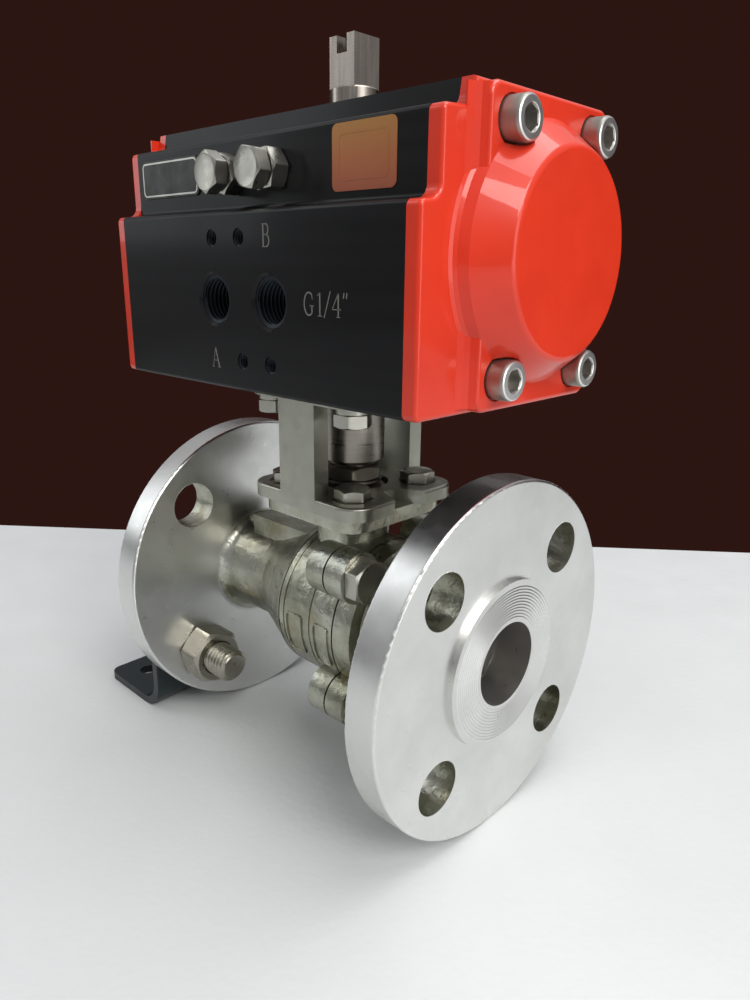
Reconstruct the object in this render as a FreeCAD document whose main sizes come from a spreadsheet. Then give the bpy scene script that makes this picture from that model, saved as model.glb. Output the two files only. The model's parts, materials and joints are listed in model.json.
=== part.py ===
import FreeCAD, Part

import math
import os
import re

import Sketcher
from FreeCAD import Rotation, Vector

# Pneumatic actuated valve: a two-piece flanged ball valve (NPS 1, class 150) with a cast
# mounting yoke and a double-acting rack-and-pinion actuator on top.
# Every piece is modelled about the crossing of the pipe axis (X) and the stem axis (Z),
# with the air ports facing -Y and the valve closed. Placement then carries it to the
# row's origin, the centre of the outlet's raised face.

os.makedirs("parts", exist_ok=True)
doc = FreeCAD.newDocument("ActuatedValve")

# ---------------------------------------------------------------- driving dimensions
SIZES = [
    # flanged ends
    ("face_to_face", 127.0, "flange face to flange face"),
    ("bore_dia", 25.4, "waterway"),
    ("flange_dia", 108.0, "flange outside"),
    ("flange_thick", 10.5, "flange without its raised face"),
    ("raised_face_dia", 50.8, ""),
    ("raised_face_high", 1.6, ""),
    ("flange_circle", 79.4, "bolt circle"),
    ("flange_hole_dia", 15.9, ""),
    # cast body and cap
    ("neck_dia", 33.8, "neck behind each flange"),
    ("hub_fillet", 4.0, "neck to flange"),
    ("flare_start", 32.0, "where the neck begins to swell"),
    ("flare_end", 9.6, "where it has reached the body's full size"),
    ("line_one", 9.0, "first of two fine lines cast round the body"),
    ("line_two", 6.4, "second line"),
    ("line_three", 6.0, "third line, on the outlet side of the stem"),
    ("line_wide", 0.5, ""),
    ("line_deep", 0.35, ""),
    ("bulge_dia", 51.4, "body round the ball"),
    ("joint_x", 17.0, "plane between body and cap"),
    ("joint_gap", 0.6, "open gap outside the gasket"),
    ("body_ear_thick", 8.0, ""),
    ("cap_ear_thick", 7.3, ""),
    ("ear_offset", 21.0, "body bolts, each way from the pipe axis"),
    ("ear_radius", 8.0, ""),
    ("body_bolt_dia", 8.0, "M8"),
    ("body_bolt_af", 13.0, "across flats"),
    ("body_bolt_head", 5.3, ""),
    ("rib_start", 44.0, "raised bar along the top of the neck"),
    ("rib_end", 10.0, ""),
    ("rib_half_width", 8.0, ""),
    ("rib_top", 22.0, ""),
    ("pad_top", 38.0, "ISO 5211 pad under the yoke"),
    ("pad_thick", 4.6, ""),
    ("pad_half", 21.6, ""),
    ("pad_corner", 6.5, ""),
    ("column_dia", 24.0, "round neck that carries the pad"),
    ("rim_round", 0.8, "outer edges of each flange"),
    # ball, seats and stem
    ("ball_radius", 19.5, ""),
    ("cavity_dia", 42.0, ""),
    ("seat_face", 10.4, "where each seat pocket begins"),
    ("seat_back", 20.0, "where each seat pocket ends"),
    ("seat_dia", 34.0, "seat pocket"),
    ("seat_gap", 0.06, "running gap between ball and seats"),
    ("gasket_dia", 46.0, ""),
    ("gasket_thick", 1.5, ""),
    ("stem_dia", 12.0, ""),
    ("stem_square", 9.0, "across flats"),
    ("stem_top", 59.0, ""),
    ("collar_dia", 16.0, "blow-out collar"),
    ("collar_bottom", 19.8, ""),
    ("collar_top", 22.8, ""),
    ("tang_thick", 5.8, "tang in the ball's slot"),
    ("tang_bottom", 14.0, ""),
    ("packing_dia", 18.0, ""),
    ("packing_bottom", 27.5, ""),
    ("packing_top", 33.5, ""),
    ("gland_top", 41.0, ""),
    ("stem_nut_af", 17.0, ""),
    ("stem_nut_bottom", 44.0, ""),
    ("stem_nut_high", 4.6, ""),
    # yoke
    ("base_thick", 4.4, "yoke plate on the valve"),
    ("base_half", 25.0, ""),
    ("base_corner", 8.0, ""),
    ("base_edge_round", 0.9, ""),
    ("notch_deep", 8.5, "notch in the plate's near and far sides"),
    ("notch_mouth", 7.5, "half the notch's width at the mouth"),
    ("notch_floor", 3.0, "half its width at the bottom"),
    ("head_recess", 0.5, "spot face under each base bolt"),
    ("base_bolts", 14.85, "F04: each way from the stem, circle 42"),
    ("post_inner", 18.5, ""),
    ("post_outer", 24.1, ""),
    ("post_half_width", 8.0, ""),
    ("yoke_top", 76.0, "actuator's underside"),
    ("top_thick", 5.0, ""),
    ("top_half", 23.6, ""),
    ("top_corner", 6.0, ""),
    ("top_edge_round", 0.4, ""),
    ("top_bolts", 17.68, "F05: each way from the stem, circle 50"),
    ("small_bolt_dia", 6.0, "M6"),
    ("small_bolt_af", 10.0, ""),
    ("small_bolt_head", 4.0, ""),
    ("top_washer", 1.8, "spring washer under each top bolt"),
    ("coupling_dia", 20.0, ""),
    ("coupling_bottom", 49.6, ""),
    ("drive_square", 11.0, "coupling into pinion"),
    # actuator body
    ("body_half_length", 58.5, ""),
    ("body_top", 148.0, ""),
    ("cylinder_z", 112.0, "cylinder axis above the pipe axis"),
    ("cylinder_dia", 52.0, ""),
    ("port_face", 42.4, "stem axis to port face"),
    ("port_face_top", 122.8, ""),
    ("side_face", 36.0, ""),
    ("side_face_top", 141.6, ""),
    ("ridge_side", 25.5, ""),
    ("back_face", 30.0, ""),
    ("port_z", 100.2, "centre of the port pattern"),
    ("port_offset", 12.0, "NAMUR: ports 24 apart"),
    ("port_screw_offset", 16.0, "NAMUR: screw rows 32 apart"),
    ("port_dia", 13.2, "G1/4 thread, major"),
    ("port_depth", 11.5, ""),
    ("port_screw_dia", 4.6, "M5 tapped"),
    ("channel_dia", 4.0, "air channel along the body"),
    ("channel_z", 89.0, ""),
    ("channel_y", 31.0, ""),
    # end caps
    ("cap_plate", 4.1, ""),
    ("cap_block", 7.7, "plate and block together"),
    ("cap_dome", 15.4, "plate, block and dome together"),
    ("block_half", 25.0, ""),
    ("block_corner", 3.5, ""),
    ("cap_screw_dia", 5.9, ""),
    ("cap_screw_clear", 6.6, "clearance hole"),
    ("cap_screw_key", 5.0, "socket across flats"),
    ("cap_screw_key_deep", 3.2, ""),
    ("groove_wide", 2.2, "O-ring grooves"),
    ("block_edge", 1.2, ""),
    ("plate_edge", 1.6, "outer corners of the plate's section"),
    ("plate_step_round", 3.0, "inner corners of the plate's section"),
    ("plate_rim", 1.1, "front edge of the plate"),
    ("dome_root", 31.4, "radius of the dome where it leaves the plate"),
    ("dome_shoulder", 30.4, "radius level with the block's face"),
    ("dome_crown", 24.2, "radius under the rounded edge of its flat"),
    ("dome_edge", 1.8, ""),
    ("housing_edge", 1.1, "long edges of the extrusion"),
    ("spigot_long", 4.0, ""),
    ("cap_hollow_dia", 44.0, ""),
    ("cap_screw_y", 17.1, ""),
    ("cap_screw_z", 28.0, "above and below the cylinder axis"),
    ("cap_screw_head_dia", 9.8, "M6 socket head"),
    ("cap_screw_head", 6.0, ""),
    ("cap_screw_sunk", 1.0, "head below the block's face"),
    ("cap_screw_shank", 16.0, ""),
    # pinion and pistons
    ("gear_module", 1.25, ""),
    ("gear_teeth", 16.0, ""),
    ("gear_bottom", 101.0, ""),
    ("gear_top", 123.0, ""),
    ("backlash", 0.12, "off each flank"),
    ("journal_low_dia", 22.0, ""),
    ("journal_top_dia", 14.0, ""),
    ("running_gap", 0.05, "radial, shafts in bushes"),
    ("pinion_shoulder", 157.0, "top of the round part"),
    ("pinion_top", 170.0, ""),
    ("pinion_square", 9.8, ""),
    ("slot_width", 4.0, ""),
    ("slot_depth", 4.5, ""),
    ("piston_inner", 27.5, "rest: inner face of each piston"),
    ("piston_outer", 38.0, "rest: outer face"),
    ("piston_dia", 51.7, ""),
    ("rack_end", 26.0, "rest: how far an arm passes the stem"),
    ("rack_half_high", 10.0, ""),
    ("rack_back_dia", 49.8, ""),
    # stroke stops
    ("stop_x", 8.7, "stop bolts, each side of the stem"),
    ("stop_z", 132.3, ""),
    ("stop_tip", 8.05, ""),
    ("stop_head_end", 45.9, ""),
    ("stop_nut_thick", 5.0, ""),
    ("cam_face", 8.0, ""),
    ("cam_dia", 24.8, ""),
    ("cam_hub_dia", 17.2, ""),
    ("cam_bottom", 129.8, ""),
    ("cam_thick", 4.5, ""),
    # badge and label
    ("badge_left", 55.4, ""),
    ("badge_right", 25.5, ""),
    ("badge_low", 128.2, ""),
    ("badge_high", 138.7, ""),
    ("badge_thick", 0.5, ""),
    ("label_left", 29.4, ""),
    ("label_right", 49.8, ""),
    ("label_low", 126.0, ""),
    ("label_high", 140.6, ""),
    ("label_thick", 0.2, ""),
    # transport foot under the far flange
    ("foot_bolt_dia", 12.0, "M12"),
    ("foot_bolt_af", 18.0, ""),
    ("foot_bolt_head", 7.5, ""),
    ("foot_stud_end", 31.5, ""),
    ("foot_nut_thick", 10.0, ""),
    ("foot_thick", 3.0, ""),
    ("foot_bend", 11.0, "outer radius of the bend"),
    ("foot_corner", 4.0, ""),
    ("foot_left", 42.0, "edge nearest the port side"),
    ("foot_right", 18.0, ""),
    ("foot_end", 100.0, ""),
    ("foot_leg_top", 20.5, ""),
    ("foot_hole_x", 89.0, ""),
    ("foot_hole_y", 31.0, ""),
    ("foot_hole_dia", 6.5, ""),
]

sheet = doc.addObject("Spreadsheet::Sheet", "Sizes")
for row, (alias, size, note) in enumerate(SIZES, start=1):
    sheet.set(f"A{row}", note or alias.replace("_", " "))
    sheet.set(f"B{row}", str(size))
    sheet.setAlias(f"B{row}", alias)
doc.recompute()
ALIASES = {alias for alias, _, _ in SIZES}


def bound(formula):
    """A formula over the sheet's names, as FreeCAD's expression engine reads it."""

    def cell(word):
        return f"Sizes.{word.group()}" if word.group() in ALIASES else word.group()

    return re.sub(r"[A-Za-z_][A-Za-z_0-9]*", cell, str(formula))


def value(formula):
    return float(sheet.evalExpression(bound(formula)))


# ---------------------------------------------------------------- modelling helpers
TOWARDS = {
    "x": Rotation(Vector(0, 1, 0), 90),
    "-x": Rotation(Vector(0, 1, 0), -90),
    "y": Rotation(Vector(1, 0, 0), -90),
    "-y": Rotation(Vector(1, 0, 0), 90),
    "z": Rotation(),
}
CORNERS = [(1, 1), (-1, 1), (-1, -1), (1, -1)]


def primitive(kind, name, along, at, turn=0, **sizes):
    """A Part primitive along an axis, with its sizes and place bound to the sheet."""
    piece = doc.addObject("Part::" + kind, name)
    spin = Rotation(Vector(0, 0, 1), turn)
    piece.Placement = FreeCAD.Placement(Vector(), TOWARDS[along].multiply(spin))
    for size, formula in sizes.items():
        piece.setExpression(size, bound(formula))
    for letter, formula in zip("xyz", at):
        piece.setExpression("Placement.Base." + letter, bound(formula))
    return piece


def rod(name, dia, length, along, at):
    return primitive("Cylinder", name, along, at, Radius=f"({dia})/2", Height=length)


def hexagon(name, flats, length, along, at, turn=0):
    piece = primitive(
        "Prism", name, along, at, turn, Circumradius=f"({flats})/sqrt(3)", Height=length
    )
    piece.Polygon = 6
    return piece


def block(name, low, high):
    """A box between two corners."""
    spans = [f"({b})-({a})" for a, b in zip(low, high)]
    return primitive(
        "Box", name, "z", low, Length=spans[0], Width=spans[1], Height=spans[2]
    )


def ring(name, outer, inner, length, along, at):
    return cut(name, rod(name + "_disc", outer, length, along, at),
               [rod(name + "_hole", inner, length, along, at)])


def fuse(name, pieces):
    union = doc.addObject("Part::MultiFuse", name)
    union.Shapes = pieces
    return union


def cut(name, base, tools):
    result = doc.addObject("Part::Cut", name)
    result.Base = base
    result.Tool = tools[0] if len(tools) == 1 else fuse(name + "_tools", tools)
    return result


def common(name, pieces):
    overlap = doc.addObject("Part::MultiCommon", name)
    overlap.Shapes = pieces
    return overlap


def group(name, pieces):
    """Separate solids kept as one object, such as a set of identical bolts."""
    together = doc.addObject("Part::Compound", name)
    together.Links = pieces
    return together


def new_body(name):
    return doc.addObject("PartDesign::Body", name)


def outline(body, name, plane, points):
    """A closed polygon sketch whose corners are all bound to the sheet."""
    sketch = body.newObject("Sketcher::SketchObject", name)
    origin = next(o for o in body.Origin.OriginFeatures if o.Role == plane)
    sketch.AttachmentSupport = [(origin, "")]
    sketch.MapMode = "FlatFace"
    corners = [Vector(value(u), value(v), 0) for u, v in points]
    count = len(corners)
    for k in range(count):
        sketch.addGeometry(Part.LineSegment(corners[k], corners[(k + 1) % count]))
    for k in range(count):
        sketch.addConstraint(Sketcher.Constraint("Coincident", k, 2, (k + 1) % count, 1))
    for k, (u, v) in enumerate(points):
        for way, place, formula in (("X", corners[k].x, u), ("Y", corners[k].y, v)):
            rule = Sketcher.Constraint("Distance" + way, -1, 1, k, 1, place)
            index = sketch.addConstraint(rule)
            sketch.setExpression(f"Constraints[{index}]", bound(formula))
    return sketch


def turned(name, axis, points):
    """A body of revolution about X or Z; points are (along the axis, radius)."""
    body = new_body(name)
    if axis == "z":
        points = [(radius, height) for height, radius in points]
    sketch = outline(body, name + "_profile", "XZ_Plane", points)
    spin = body.newObject("PartDesign::Revolution", name + "_spin")
    spin.Profile = sketch
    spin.ReferenceAxis = (sketch, ["H_Axis" if axis == "x" else "V_Axis"])
    spin.Angle = 360
    return body


def pad(body, name, sketch, length, backwards=False):
    feature = body.newObject("PartDesign::Pad", name)
    feature.Profile = sketch
    feature.setExpression("Length", bound(length))
    feature.Reversed = backwards
    return feature


def round_edges(body, name, radius, chosen):
    """A fillet on the edges of the body's tip that the test chooses."""
    doc.recompute()
    tip = body.Tip
    names = [f"Edge{k}" for k, e in enumerate(tip.Shape.Edges, start=1) if chosen(e)]
    if not names:
        raise SystemExit(f"no edges to round: {name}")
    fillet = body.newObject("PartDesign::Fillet", name)
    fillet.Base = (tip, names)
    fillet.setExpression("Radius", bound(radius))
    return fillet


def spans(edge, axis, low, high=None):
    """True where the whole edge lies between two places along an axis."""
    high = low if high is None else high
    box = edge.BoundBox
    start, end = {"x": (box.XMin, box.XMax), "y": (box.YMin, box.YMax),
                  "z": (box.ZMin, box.ZMax)}[axis]
    return start > low - 0.01 and end < high + 0.01


NODES = {}


def node(name, piece):
    """Names a finished sub-part and carries it to the row's origin."""
    piece.Label = name
    piece.setExpression("Placement.Base.x", bound("-face_to_face/2"))
    NODES[name] = piece
    return piece


# ---------------------------------------------------------------- valve castings
def flange_holes(name, side):
    """The four bolt holes of a flange, on diagonals."""
    start = "-face_to_face/2-1" if side < 0 else "face_to_face/2-flange_thick-4"
    step = "flange_circle/2/sqrt(2)"
    return [
        rod(f"{name}_{k}", "flange_hole_dia", "flange_thick+5", "x",
            (start, f"{cy}*{step}", f"{cz}*{step}"))
        for k, (cy, cz) in enumerate(CORNERS)
    ]


def ears(name, start, thick):
    return [
        rod(f"{name}_{k}", "2*ear_radius", thick, "x",
            (start, f"{cy}*ear_offset", f"{cz}*ear_offset"))
        for k, (cy, cz) in enumerate(CORNERS)
    ]


def ear_holes(name, dia, start, length):
    return [
        rod(f"{name}_{k}", dia, length, "x",
            (start, f"{cy}*ear_offset", f"{cz}*ear_offset"))
        for k, (cy, cz) in enumerate(CORNERS)
    ]


def flange_profile(sign):
    """Outer profile of a flanged end, from the raised face inwards to the neck."""
    face = f"{sign}*face_to_face/2"
    step = f"{face}-({sign}*raised_face_high)"
    back = f"{step}-({sign}*flange_thick)"
    return [
        (face, "bore_dia/2"),
        (face, "raised_face_dia/2"),
        (step, "raised_face_dia/2"),
        (step, "flange_dia/2"),
        (back, "flange_dia/2"),
        (back, "neck_dia/2"),
    ]


def neck_edge(side):
    """Chooses the circle where the neck meets the flange."""
    back = side * value("face_to_face/2-raised_face_high-flange_thick")

    def chosen(edge):
        return spans(edge, "x", back) and edge.BoundBox.YMax < value("neck_dia/2") + 0.1

    return chosen


def rim_edges(side):
    """Chooses both outer edges of a flange's rim."""
    return lambda edge: (edge.BoundBox.YMax > value("flange_dia/2") - 0.01
                         and edge.BoundBox.ZLength > value("flange_dia") - 0.1
                         and edge.BoundBox.XLength < 0.01
                         and side * edge.BoundBox.XMax > 0)


def make_valve_body():
    swell = "(bulge_dia-neck_dia)/2"
    swell_long = "(flare_start-flare_end)"
    shell = turned("body_shell", "x", flange_profile(-1) + [
        ("-flare_start", "neck_dia/2"),
        (f"-flare_start+0.2*{swell_long}", f"neck_dia/2+0.12*{swell}"),
        (f"-flare_start+0.8*{swell_long}", f"neck_dia/2+0.74*{swell}"),
        ("-flare_end", "bulge_dia/2-line_deep"),
        ("-line_one", "bulge_dia/2-line_deep/2"),
        ("-line_one", "bulge_dia/2-2*line_deep"),
        ("-line_one+line_wide", "bulge_dia/2-2*line_deep"),
        ("-line_one+line_wide", "bulge_dia/2-line_deep/2"),
        ("-line_two", "bulge_dia/2"),
        ("-line_two", "bulge_dia/2-line_deep"),
        ("-line_two+line_wide", "bulge_dia/2-line_deep"),
        ("-line_two+line_wide", "bulge_dia/2"),
        ("line_three", "bulge_dia/2"),
        ("line_three", "bulge_dia/2-line_deep"),
        ("line_three+line_wide", "bulge_dia/2-line_deep"),
        ("line_three+line_wide", "bulge_dia/2"),
        ("joint_x-joint_gap", "bulge_dia/2"),
        ("joint_x-joint_gap", "gasket_dia/2+1"),
        ("joint_x", "gasket_dia/2+1"),
        ("joint_x", "bore_dia/2"),
    ])
    round_edges(shell, "body_hub_fillet", "hub_fillet", neck_edge(-1))
    round_edges(shell, "body_rim_fillet", "rim_round", rim_edges(-1))

    pad_plate = new_body("pad_plate")
    half = "pad_half"
    pad(pad_plate, "pad_plate_pad", outline(pad_plate, "pad_plate_outline", "XY_Plane", [
        (f"-{half}", f"-{half}"), (half, f"-{half}"), (half, half), (f"-{half}", half)]),
        "pad_thick")
    round_edges(pad_plate, "pad_plate_corners", "pad_corner",
                lambda e: e.BoundBox.ZLength > value("pad_thick") - 0.01)
    pad_plate.setExpression("Placement.Base.z", bound("pad_top-pad_thick"))

    column = rod("pad_column", "column_dia", "pad_top-pad_thick/2-neck_dia/2", "z",
                 ("0", "0", "neck_dia/2"))
    rib = block("neck_rib", ("-rib_start", "-rib_half_width", "bore_dia/2+2"),
                ("-rib_end", "rib_half_width", "rib_top"))
    solid = fuse("body_casting", [shell, pad_plate, column, rib]
                 + ears("body_ear", "joint_x-body_ear_thick", "body_ear_thick-joint_gap"))

    waterway = turned("body_waterway", "x", [
        ("-face_to_face/2-1", "0"),
        ("-face_to_face/2-1", "bore_dia/2"),
        ("-seat_back", "bore_dia/2"),
        ("-seat_back", "seat_dia/2"),
        ("-seat_face", "seat_dia/2"),
        ("-seat_face", "cavity_dia/2"),
        ("joint_x-gasket_thick", "cavity_dia/2"),
        ("joint_x-gasket_thick", "gasket_dia/2"),
        ("joint_x+1", "gasket_dia/2"),
        ("joint_x+1", "0"),
    ])
    stem_way = turned("body_stem_way", "z", [
        ("0", "0"),
        ("0", "collar_dia/2+0.2"),
        ("collar_top+1.5", "collar_dia/2+0.2"),
        ("collar_top+1.5", "stem_dia/2+running_gap"),
        ("packing_bottom", "stem_dia/2+running_gap"),
        ("packing_bottom", "packing_dia/2"),
        ("pad_top+1", "packing_dia/2"),
        ("pad_top+1", "0"),
    ])
    taps = [
        rod(f"pad_tap_{k}", "small_bolt_dia", "pad_thick+2", "z",
            (f"{cx}*base_bolts", f"{cy}*base_bolts", "pad_top-pad_thick-1"))
        for k, (cx, cy) in enumerate(CORNERS)
    ]
    ear_taps = ear_holes("ear_tap", "body_bolt_dia", "joint_x-body_ear_thick-1", "body_ear_thick+2")
    return cut("valve_body", solid, [waterway, stem_way] + taps + ear_taps
               + flange_holes("far_hole", -1))


def make_body_cap():
    shell = turned("cap_shell", "x", flange_profile(1) + [
        ("flare_start+4", "neck_dia/2"),
        ("joint_x+cap_ear_thick+3", "neck_dia/2+2.4"),
        ("joint_x+cap_ear_thick", "neck_dia/2+4.4"),
        ("joint_x+cap_ear_thick", "bulge_dia/2"),
        ("joint_x", "bulge_dia/2"),
        ("joint_x", "cavity_dia/2-0.1"),
        ("seat_face", "cavity_dia/2-0.1"),
        ("seat_face", "bore_dia/2"),
    ])
    round_edges(shell, "cap_hub_fillet", "hub_fillet", neck_edge(1))
    round_edges(shell, "cap_rim_fillet", "rim_round", rim_edges(1))
    solid = fuse("cap_casting", [shell] + ears("cap_ear", "joint_x", "cap_ear_thick"))
    waterway = turned("cap_waterway", "x", [
        ("seat_face-1", "0"),
        ("seat_face-1", "seat_dia/2"),
        ("seat_back", "seat_dia/2"),
        ("seat_back", "bore_dia/2"),
        ("face_to_face/2+1", "bore_dia/2"),
        ("face_to_face/2+1", "0"),
    ])
    return cut("body_cap", solid, [waterway] + flange_holes("near_hole", 1)
               + ear_holes("ear_hole", "body_bolt_dia+1", "joint_x-1", "cap_ear_thick+2"))


def make_seat(name, side):
    """A soft seat ring with a spherical face that the ball slides on."""
    start = "seat_face" if side > 0 else "-seat_back"
    blank = ring(name + "_blank", "seat_dia-0.1", "bore_dia+0.4", "seat_back-seat_face", "x",
                 (start, "0", "0"))
    hollow = primitive("Sphere", name + "_hollow", "z", ("0", "0", "0"),
                       Radius="ball_radius+seat_gap")
    return cut(name, blank, [hollow])


def make_ball():
    """Closed: the waterway lies across the pipe and the stem slot along it."""
    sphere = primitive("Sphere", "ball_sphere", "z", ("0", "0", "0"), Radius="ball_radius")
    bore = rod("ball_bore", "bore_dia", "4*ball_radius", "y", ("0", "-2*ball_radius", "0"))
    slot = block("ball_slot", ("-ball_radius", "-tang_thick/2-0.1", "tang_bottom-0.3"),
                 ("ball_radius", "tang_thick/2+0.1", "ball_radius+1"))
    trim = rod("ball_trim", "2*ball_radius", "2*(collar_bottom-0.6)", "z",
               ("0", "0", "0.6-collar_bottom"))
    return cut("ball", common("ball_blank", [sphere, trim]), [bore, slot])


def make_stem():
    shaft = turned("stem_shaft", "z", [
        ("collar_bottom", "0"),
        ("collar_bottom", "collar_dia/2"),
        ("collar_top", "collar_dia/2"),
        ("collar_top", "stem_dia/2"),
        ("stem_top-0.8", "stem_dia/2"),
        ("stem_top", "stem_dia/2-0.8"),
        ("stem_top", "0"),
    ])
    tang = common("stem_tang", [
        block("tang_block", ("-collar_dia/2", "-tang_thick/2", "tang_bottom"),
              ("collar_dia/2", "tang_thick/2", "collar_bottom+0.5")),
        rod("tang_round", "collar_dia-2", "12", "z", ("0", "0", "tang_bottom-1")),
    ])
    flats = []
    for k, (sx, sy) in enumerate([(1, 0), (-1, 0), (0, 1), (0, -1)]):
        reach = "stem_square/2"
        low_x, high_x = (reach, "9") if sx > 0 else ("-9", f"-{reach}") if sx else ("-9", "9")
        low_y, high_y = (reach, "9") if sy > 0 else ("-9", f"-{reach}") if sy else ("-9", "9")
        flats.append(block(f"stem_flat_{k}", (low_x, low_y, "stem_nut_bottom+stem_nut_high+0.2"),
                           (high_x, high_y, "stem_top+1")))
    return cut("stem", fuse("stem_blank", [shaft, tang]), flats)


def make_packing():
    third = "(packing_top-packing_bottom)/3"
    return group("stem_packing", [
        ring(f"packing_ring_{k}", "packing_dia", "stem_dia+2*running_gap", f"{third}-0.02", "z",
             ("0", "0", f"packing_bottom+{k}*{third}"))
        for k in range(3)
    ])


def make_gland():
    """Follower that presses the packing down; it stands out of the pad."""
    return turned("gland_ring", "z", [
        ("packing_top", "stem_dia/2+running_gap"),
        ("packing_top", "packing_dia/2-0.1"),
        ("pad_top+0.6", "packing_dia/2-0.1"),
        ("pad_top+0.6", "packing_dia/2+1.5"),
        ("gland_top", "packing_dia/2+1.5"),
        ("gland_top", "stem_dia/2+running_gap"),
    ])


def make_spring_washers():
    """Two conical washers, opposed, between gland and nut."""
    low, high = "stem_dia/2", "stem_dia/2+3.2"
    pair = []
    for k, (inner_lift, outer_lift) in enumerate([(0.6, 0.0), (0.0, 0.6)]):
        base = f"gland_top+0.1+{k}*1.4"
        pair.append(turned(f"spring_washer_{k}", "z", [
            (f"{base}+{inner_lift}", low),
            (f"{base}+{outer_lift}", high),
            (f"{base}+{outer_lift}+0.75", high),
            (f"{base}+{inner_lift}+0.75", low),
        ]))
    return group("spring_washers", pair)


def make_stem_nut():
    at = ("0", "0", "stem_nut_bottom")
    blank = hexagon("stem_nut_blank", "stem_nut_af", "stem_nut_high", "z", at, turn=14)
    return cut("stem_nut", blank, [rod("stem_nut_hole", "stem_dia", "stem_nut_high+1", "z", at)])


def make_body_bolts():
    bolts = []
    for k, (cy, cz) in enumerate(CORNERS):
        at = (f"{cy}*ear_offset", f"{cz}*ear_offset")
        head = hexagon(f"body_bolt_head_{k}", "body_bolt_af", "body_bolt_head", "x",
                       ("joint_x+cap_ear_thick", *at), turn=0)
        shank = rod(f"body_bolt_shank_{k}", "body_bolt_dia-0.1",
                    "body_ear_thick+cap_ear_thick+0.5", "x", ("joint_x-body_ear_thick", *at))
        bolts.append(fuse(f"body_bolt_{k}", [head, shank]))
    return group("body_bolts", bolts)


# ---------------------------------------------------------------- yoke and coupling
def rounded_plate(name, half_x, half_y, low, thick, corner, edge_round):
    plate = new_body(name)
    sketch = outline(plate, name + "_outline", "XY_Plane", [
        (f"-{half_x}", f"-{half_y}"), (half_x, f"-{half_y}"),
        (half_x, half_y), (f"-{half_x}", half_y)])
    pad(plate, name + "_pad", sketch, thick)
    round_edges(plate, name + "_corners", corner,
                lambda e: e.BoundBox.ZLength > value(thick) - 0.01)
    round_edges(plate, name + "_rims", edge_round, lambda e: spans(e, "z", value(thick)))
    plate.setExpression("Placement.Base.z", bound(low))
    return plate


def side_notch(name, sign):
    """A tapering notch in the side of the yoke's base plate that faces along the pipe."""
    notch = new_body(name)
    mouth, floor = f"{sign}*(base_half+1)", f"{sign}*(base_half-notch_deep)"
    pad(notch, name + "_pad", outline(notch, name + "_outline", "XY_Plane", [
        (mouth, "-notch_mouth"), (floor, "-notch_floor"),
        (floor, "notch_floor"), (mouth, "notch_mouth")]), "base_thick+2")
    notch.setExpression("Placement.Base.z", bound("pad_top-1"))
    return notch


def make_yoke():
    base = rounded_plate("yoke_base", "base_half", "post_outer", "pad_top", "base_thick",
                         "base_corner", "base_edge_round")
    top = rounded_plate("yoke_top_plate", "top_half", "post_outer", "yoke_top-top_thick",
                        "top_thick", "top_corner", "top_edge_round")
    posts = [
        block("yoke_front_post", ("-post_half_width", "-post_outer", "pad_top+1"),
              ("post_half_width", "-post_inner", "yoke_top-1")),
        block("yoke_rear_post", ("-post_half_width", "post_inner", "pad_top+1"),
              ("post_half_width", "post_outer", "yoke_top-1")),
    ]
    casting = fuse("yoke_casting", [base, top] + posts)
    tools = [
        rod("yoke_gland_hole", "packing_dia+5", "base_thick+2", "z", ("0", "0", "pad_top-1")),
        rod("yoke_coupling_hole", "coupling_dia+0.8", "top_thick+2", "z",
            ("0", "0", "yoke_top-top_thick-1")),
        side_notch("yoke_notch_near", 1),
        side_notch("yoke_notch_far", -1),
    ]
    for k, (cx, cy) in enumerate(CORNERS):
        low_at = (f"{cx}*base_bolts", f"{cy}*base_bolts")
        top_at = (f"{cx}*top_bolts", f"{cy}*top_bolts")
        tools.append(rod(f"yoke_base_hole_{k}", "small_bolt_dia+0.6", "base_thick+2", "z",
                         (*low_at, "pad_top-1")))
        tools.append(rod(f"yoke_recess_{k}", "small_bolt_af/0.8", "base_thick", "z",
                         (*low_at, "pad_top+base_thick-head_recess")))
        tools.append(rod(f"yoke_top_hole_{k}", "small_bolt_dia+0.6", "top_thick+2", "z",
                         (*top_at, "yoke_top-top_thick-1")))
    return cut("yoke", casting, tools)


def make_base_bolts():
    bolts = []
    low = "pad_top+base_thick-head_recess"
    for k, (cx, cy) in enumerate(CORNERS):
        at = (f"{cx}*base_bolts", f"{cy}*base_bolts")
        head = hexagon(f"base_bolt_head_{k}", "small_bolt_af", "small_bolt_head", "z",
                       (*at, low), turn=10)
        shank = rod(f"base_bolt_shank_{k}", "small_bolt_dia-0.1", "base_thick+6.5", "z",
                    (*at, f"{low}-base_thick-6"))
        bolts.append(fuse(f"base_bolt_{k}", [head, shank]))
    return group("yoke_base_bolts", bolts)


def make_top_bolts():
    """Bolts from below, each with a spring washer, into the actuator."""
    bolts = []
    under = "yoke_top-top_thick"
    for k, (cx, cy) in enumerate(CORNERS):
        at = (f"{cx}*top_bolts", f"{cy}*top_bolts")
        washer = rod(f"top_bolt_washer_{k}", "small_bolt_af", "top_washer", "z",
                     (*at, f"{under}-top_washer"))
        head = hexagon(f"top_bolt_head_{k}", "small_bolt_af", "small_bolt_head", "z",
                       (*at, f"{under}-top_washer-small_bolt_head"), turn=20)
        shank = rod(f"top_bolt_shank_{k}", "small_bolt_dia-0.1", "top_thick+9", "z",
                    (*at, f"{under}-1"))
        bolts.append(fuse(f"top_bolt_{k}", [head, washer, shank]))
    return group("yoke_top_bolts", bolts)


def square_bar(name, flats, low, high):
    half = f"({flats})/2"
    return block(name, (f"-{half}", f"-{half}", low), (half, half, high))


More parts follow.
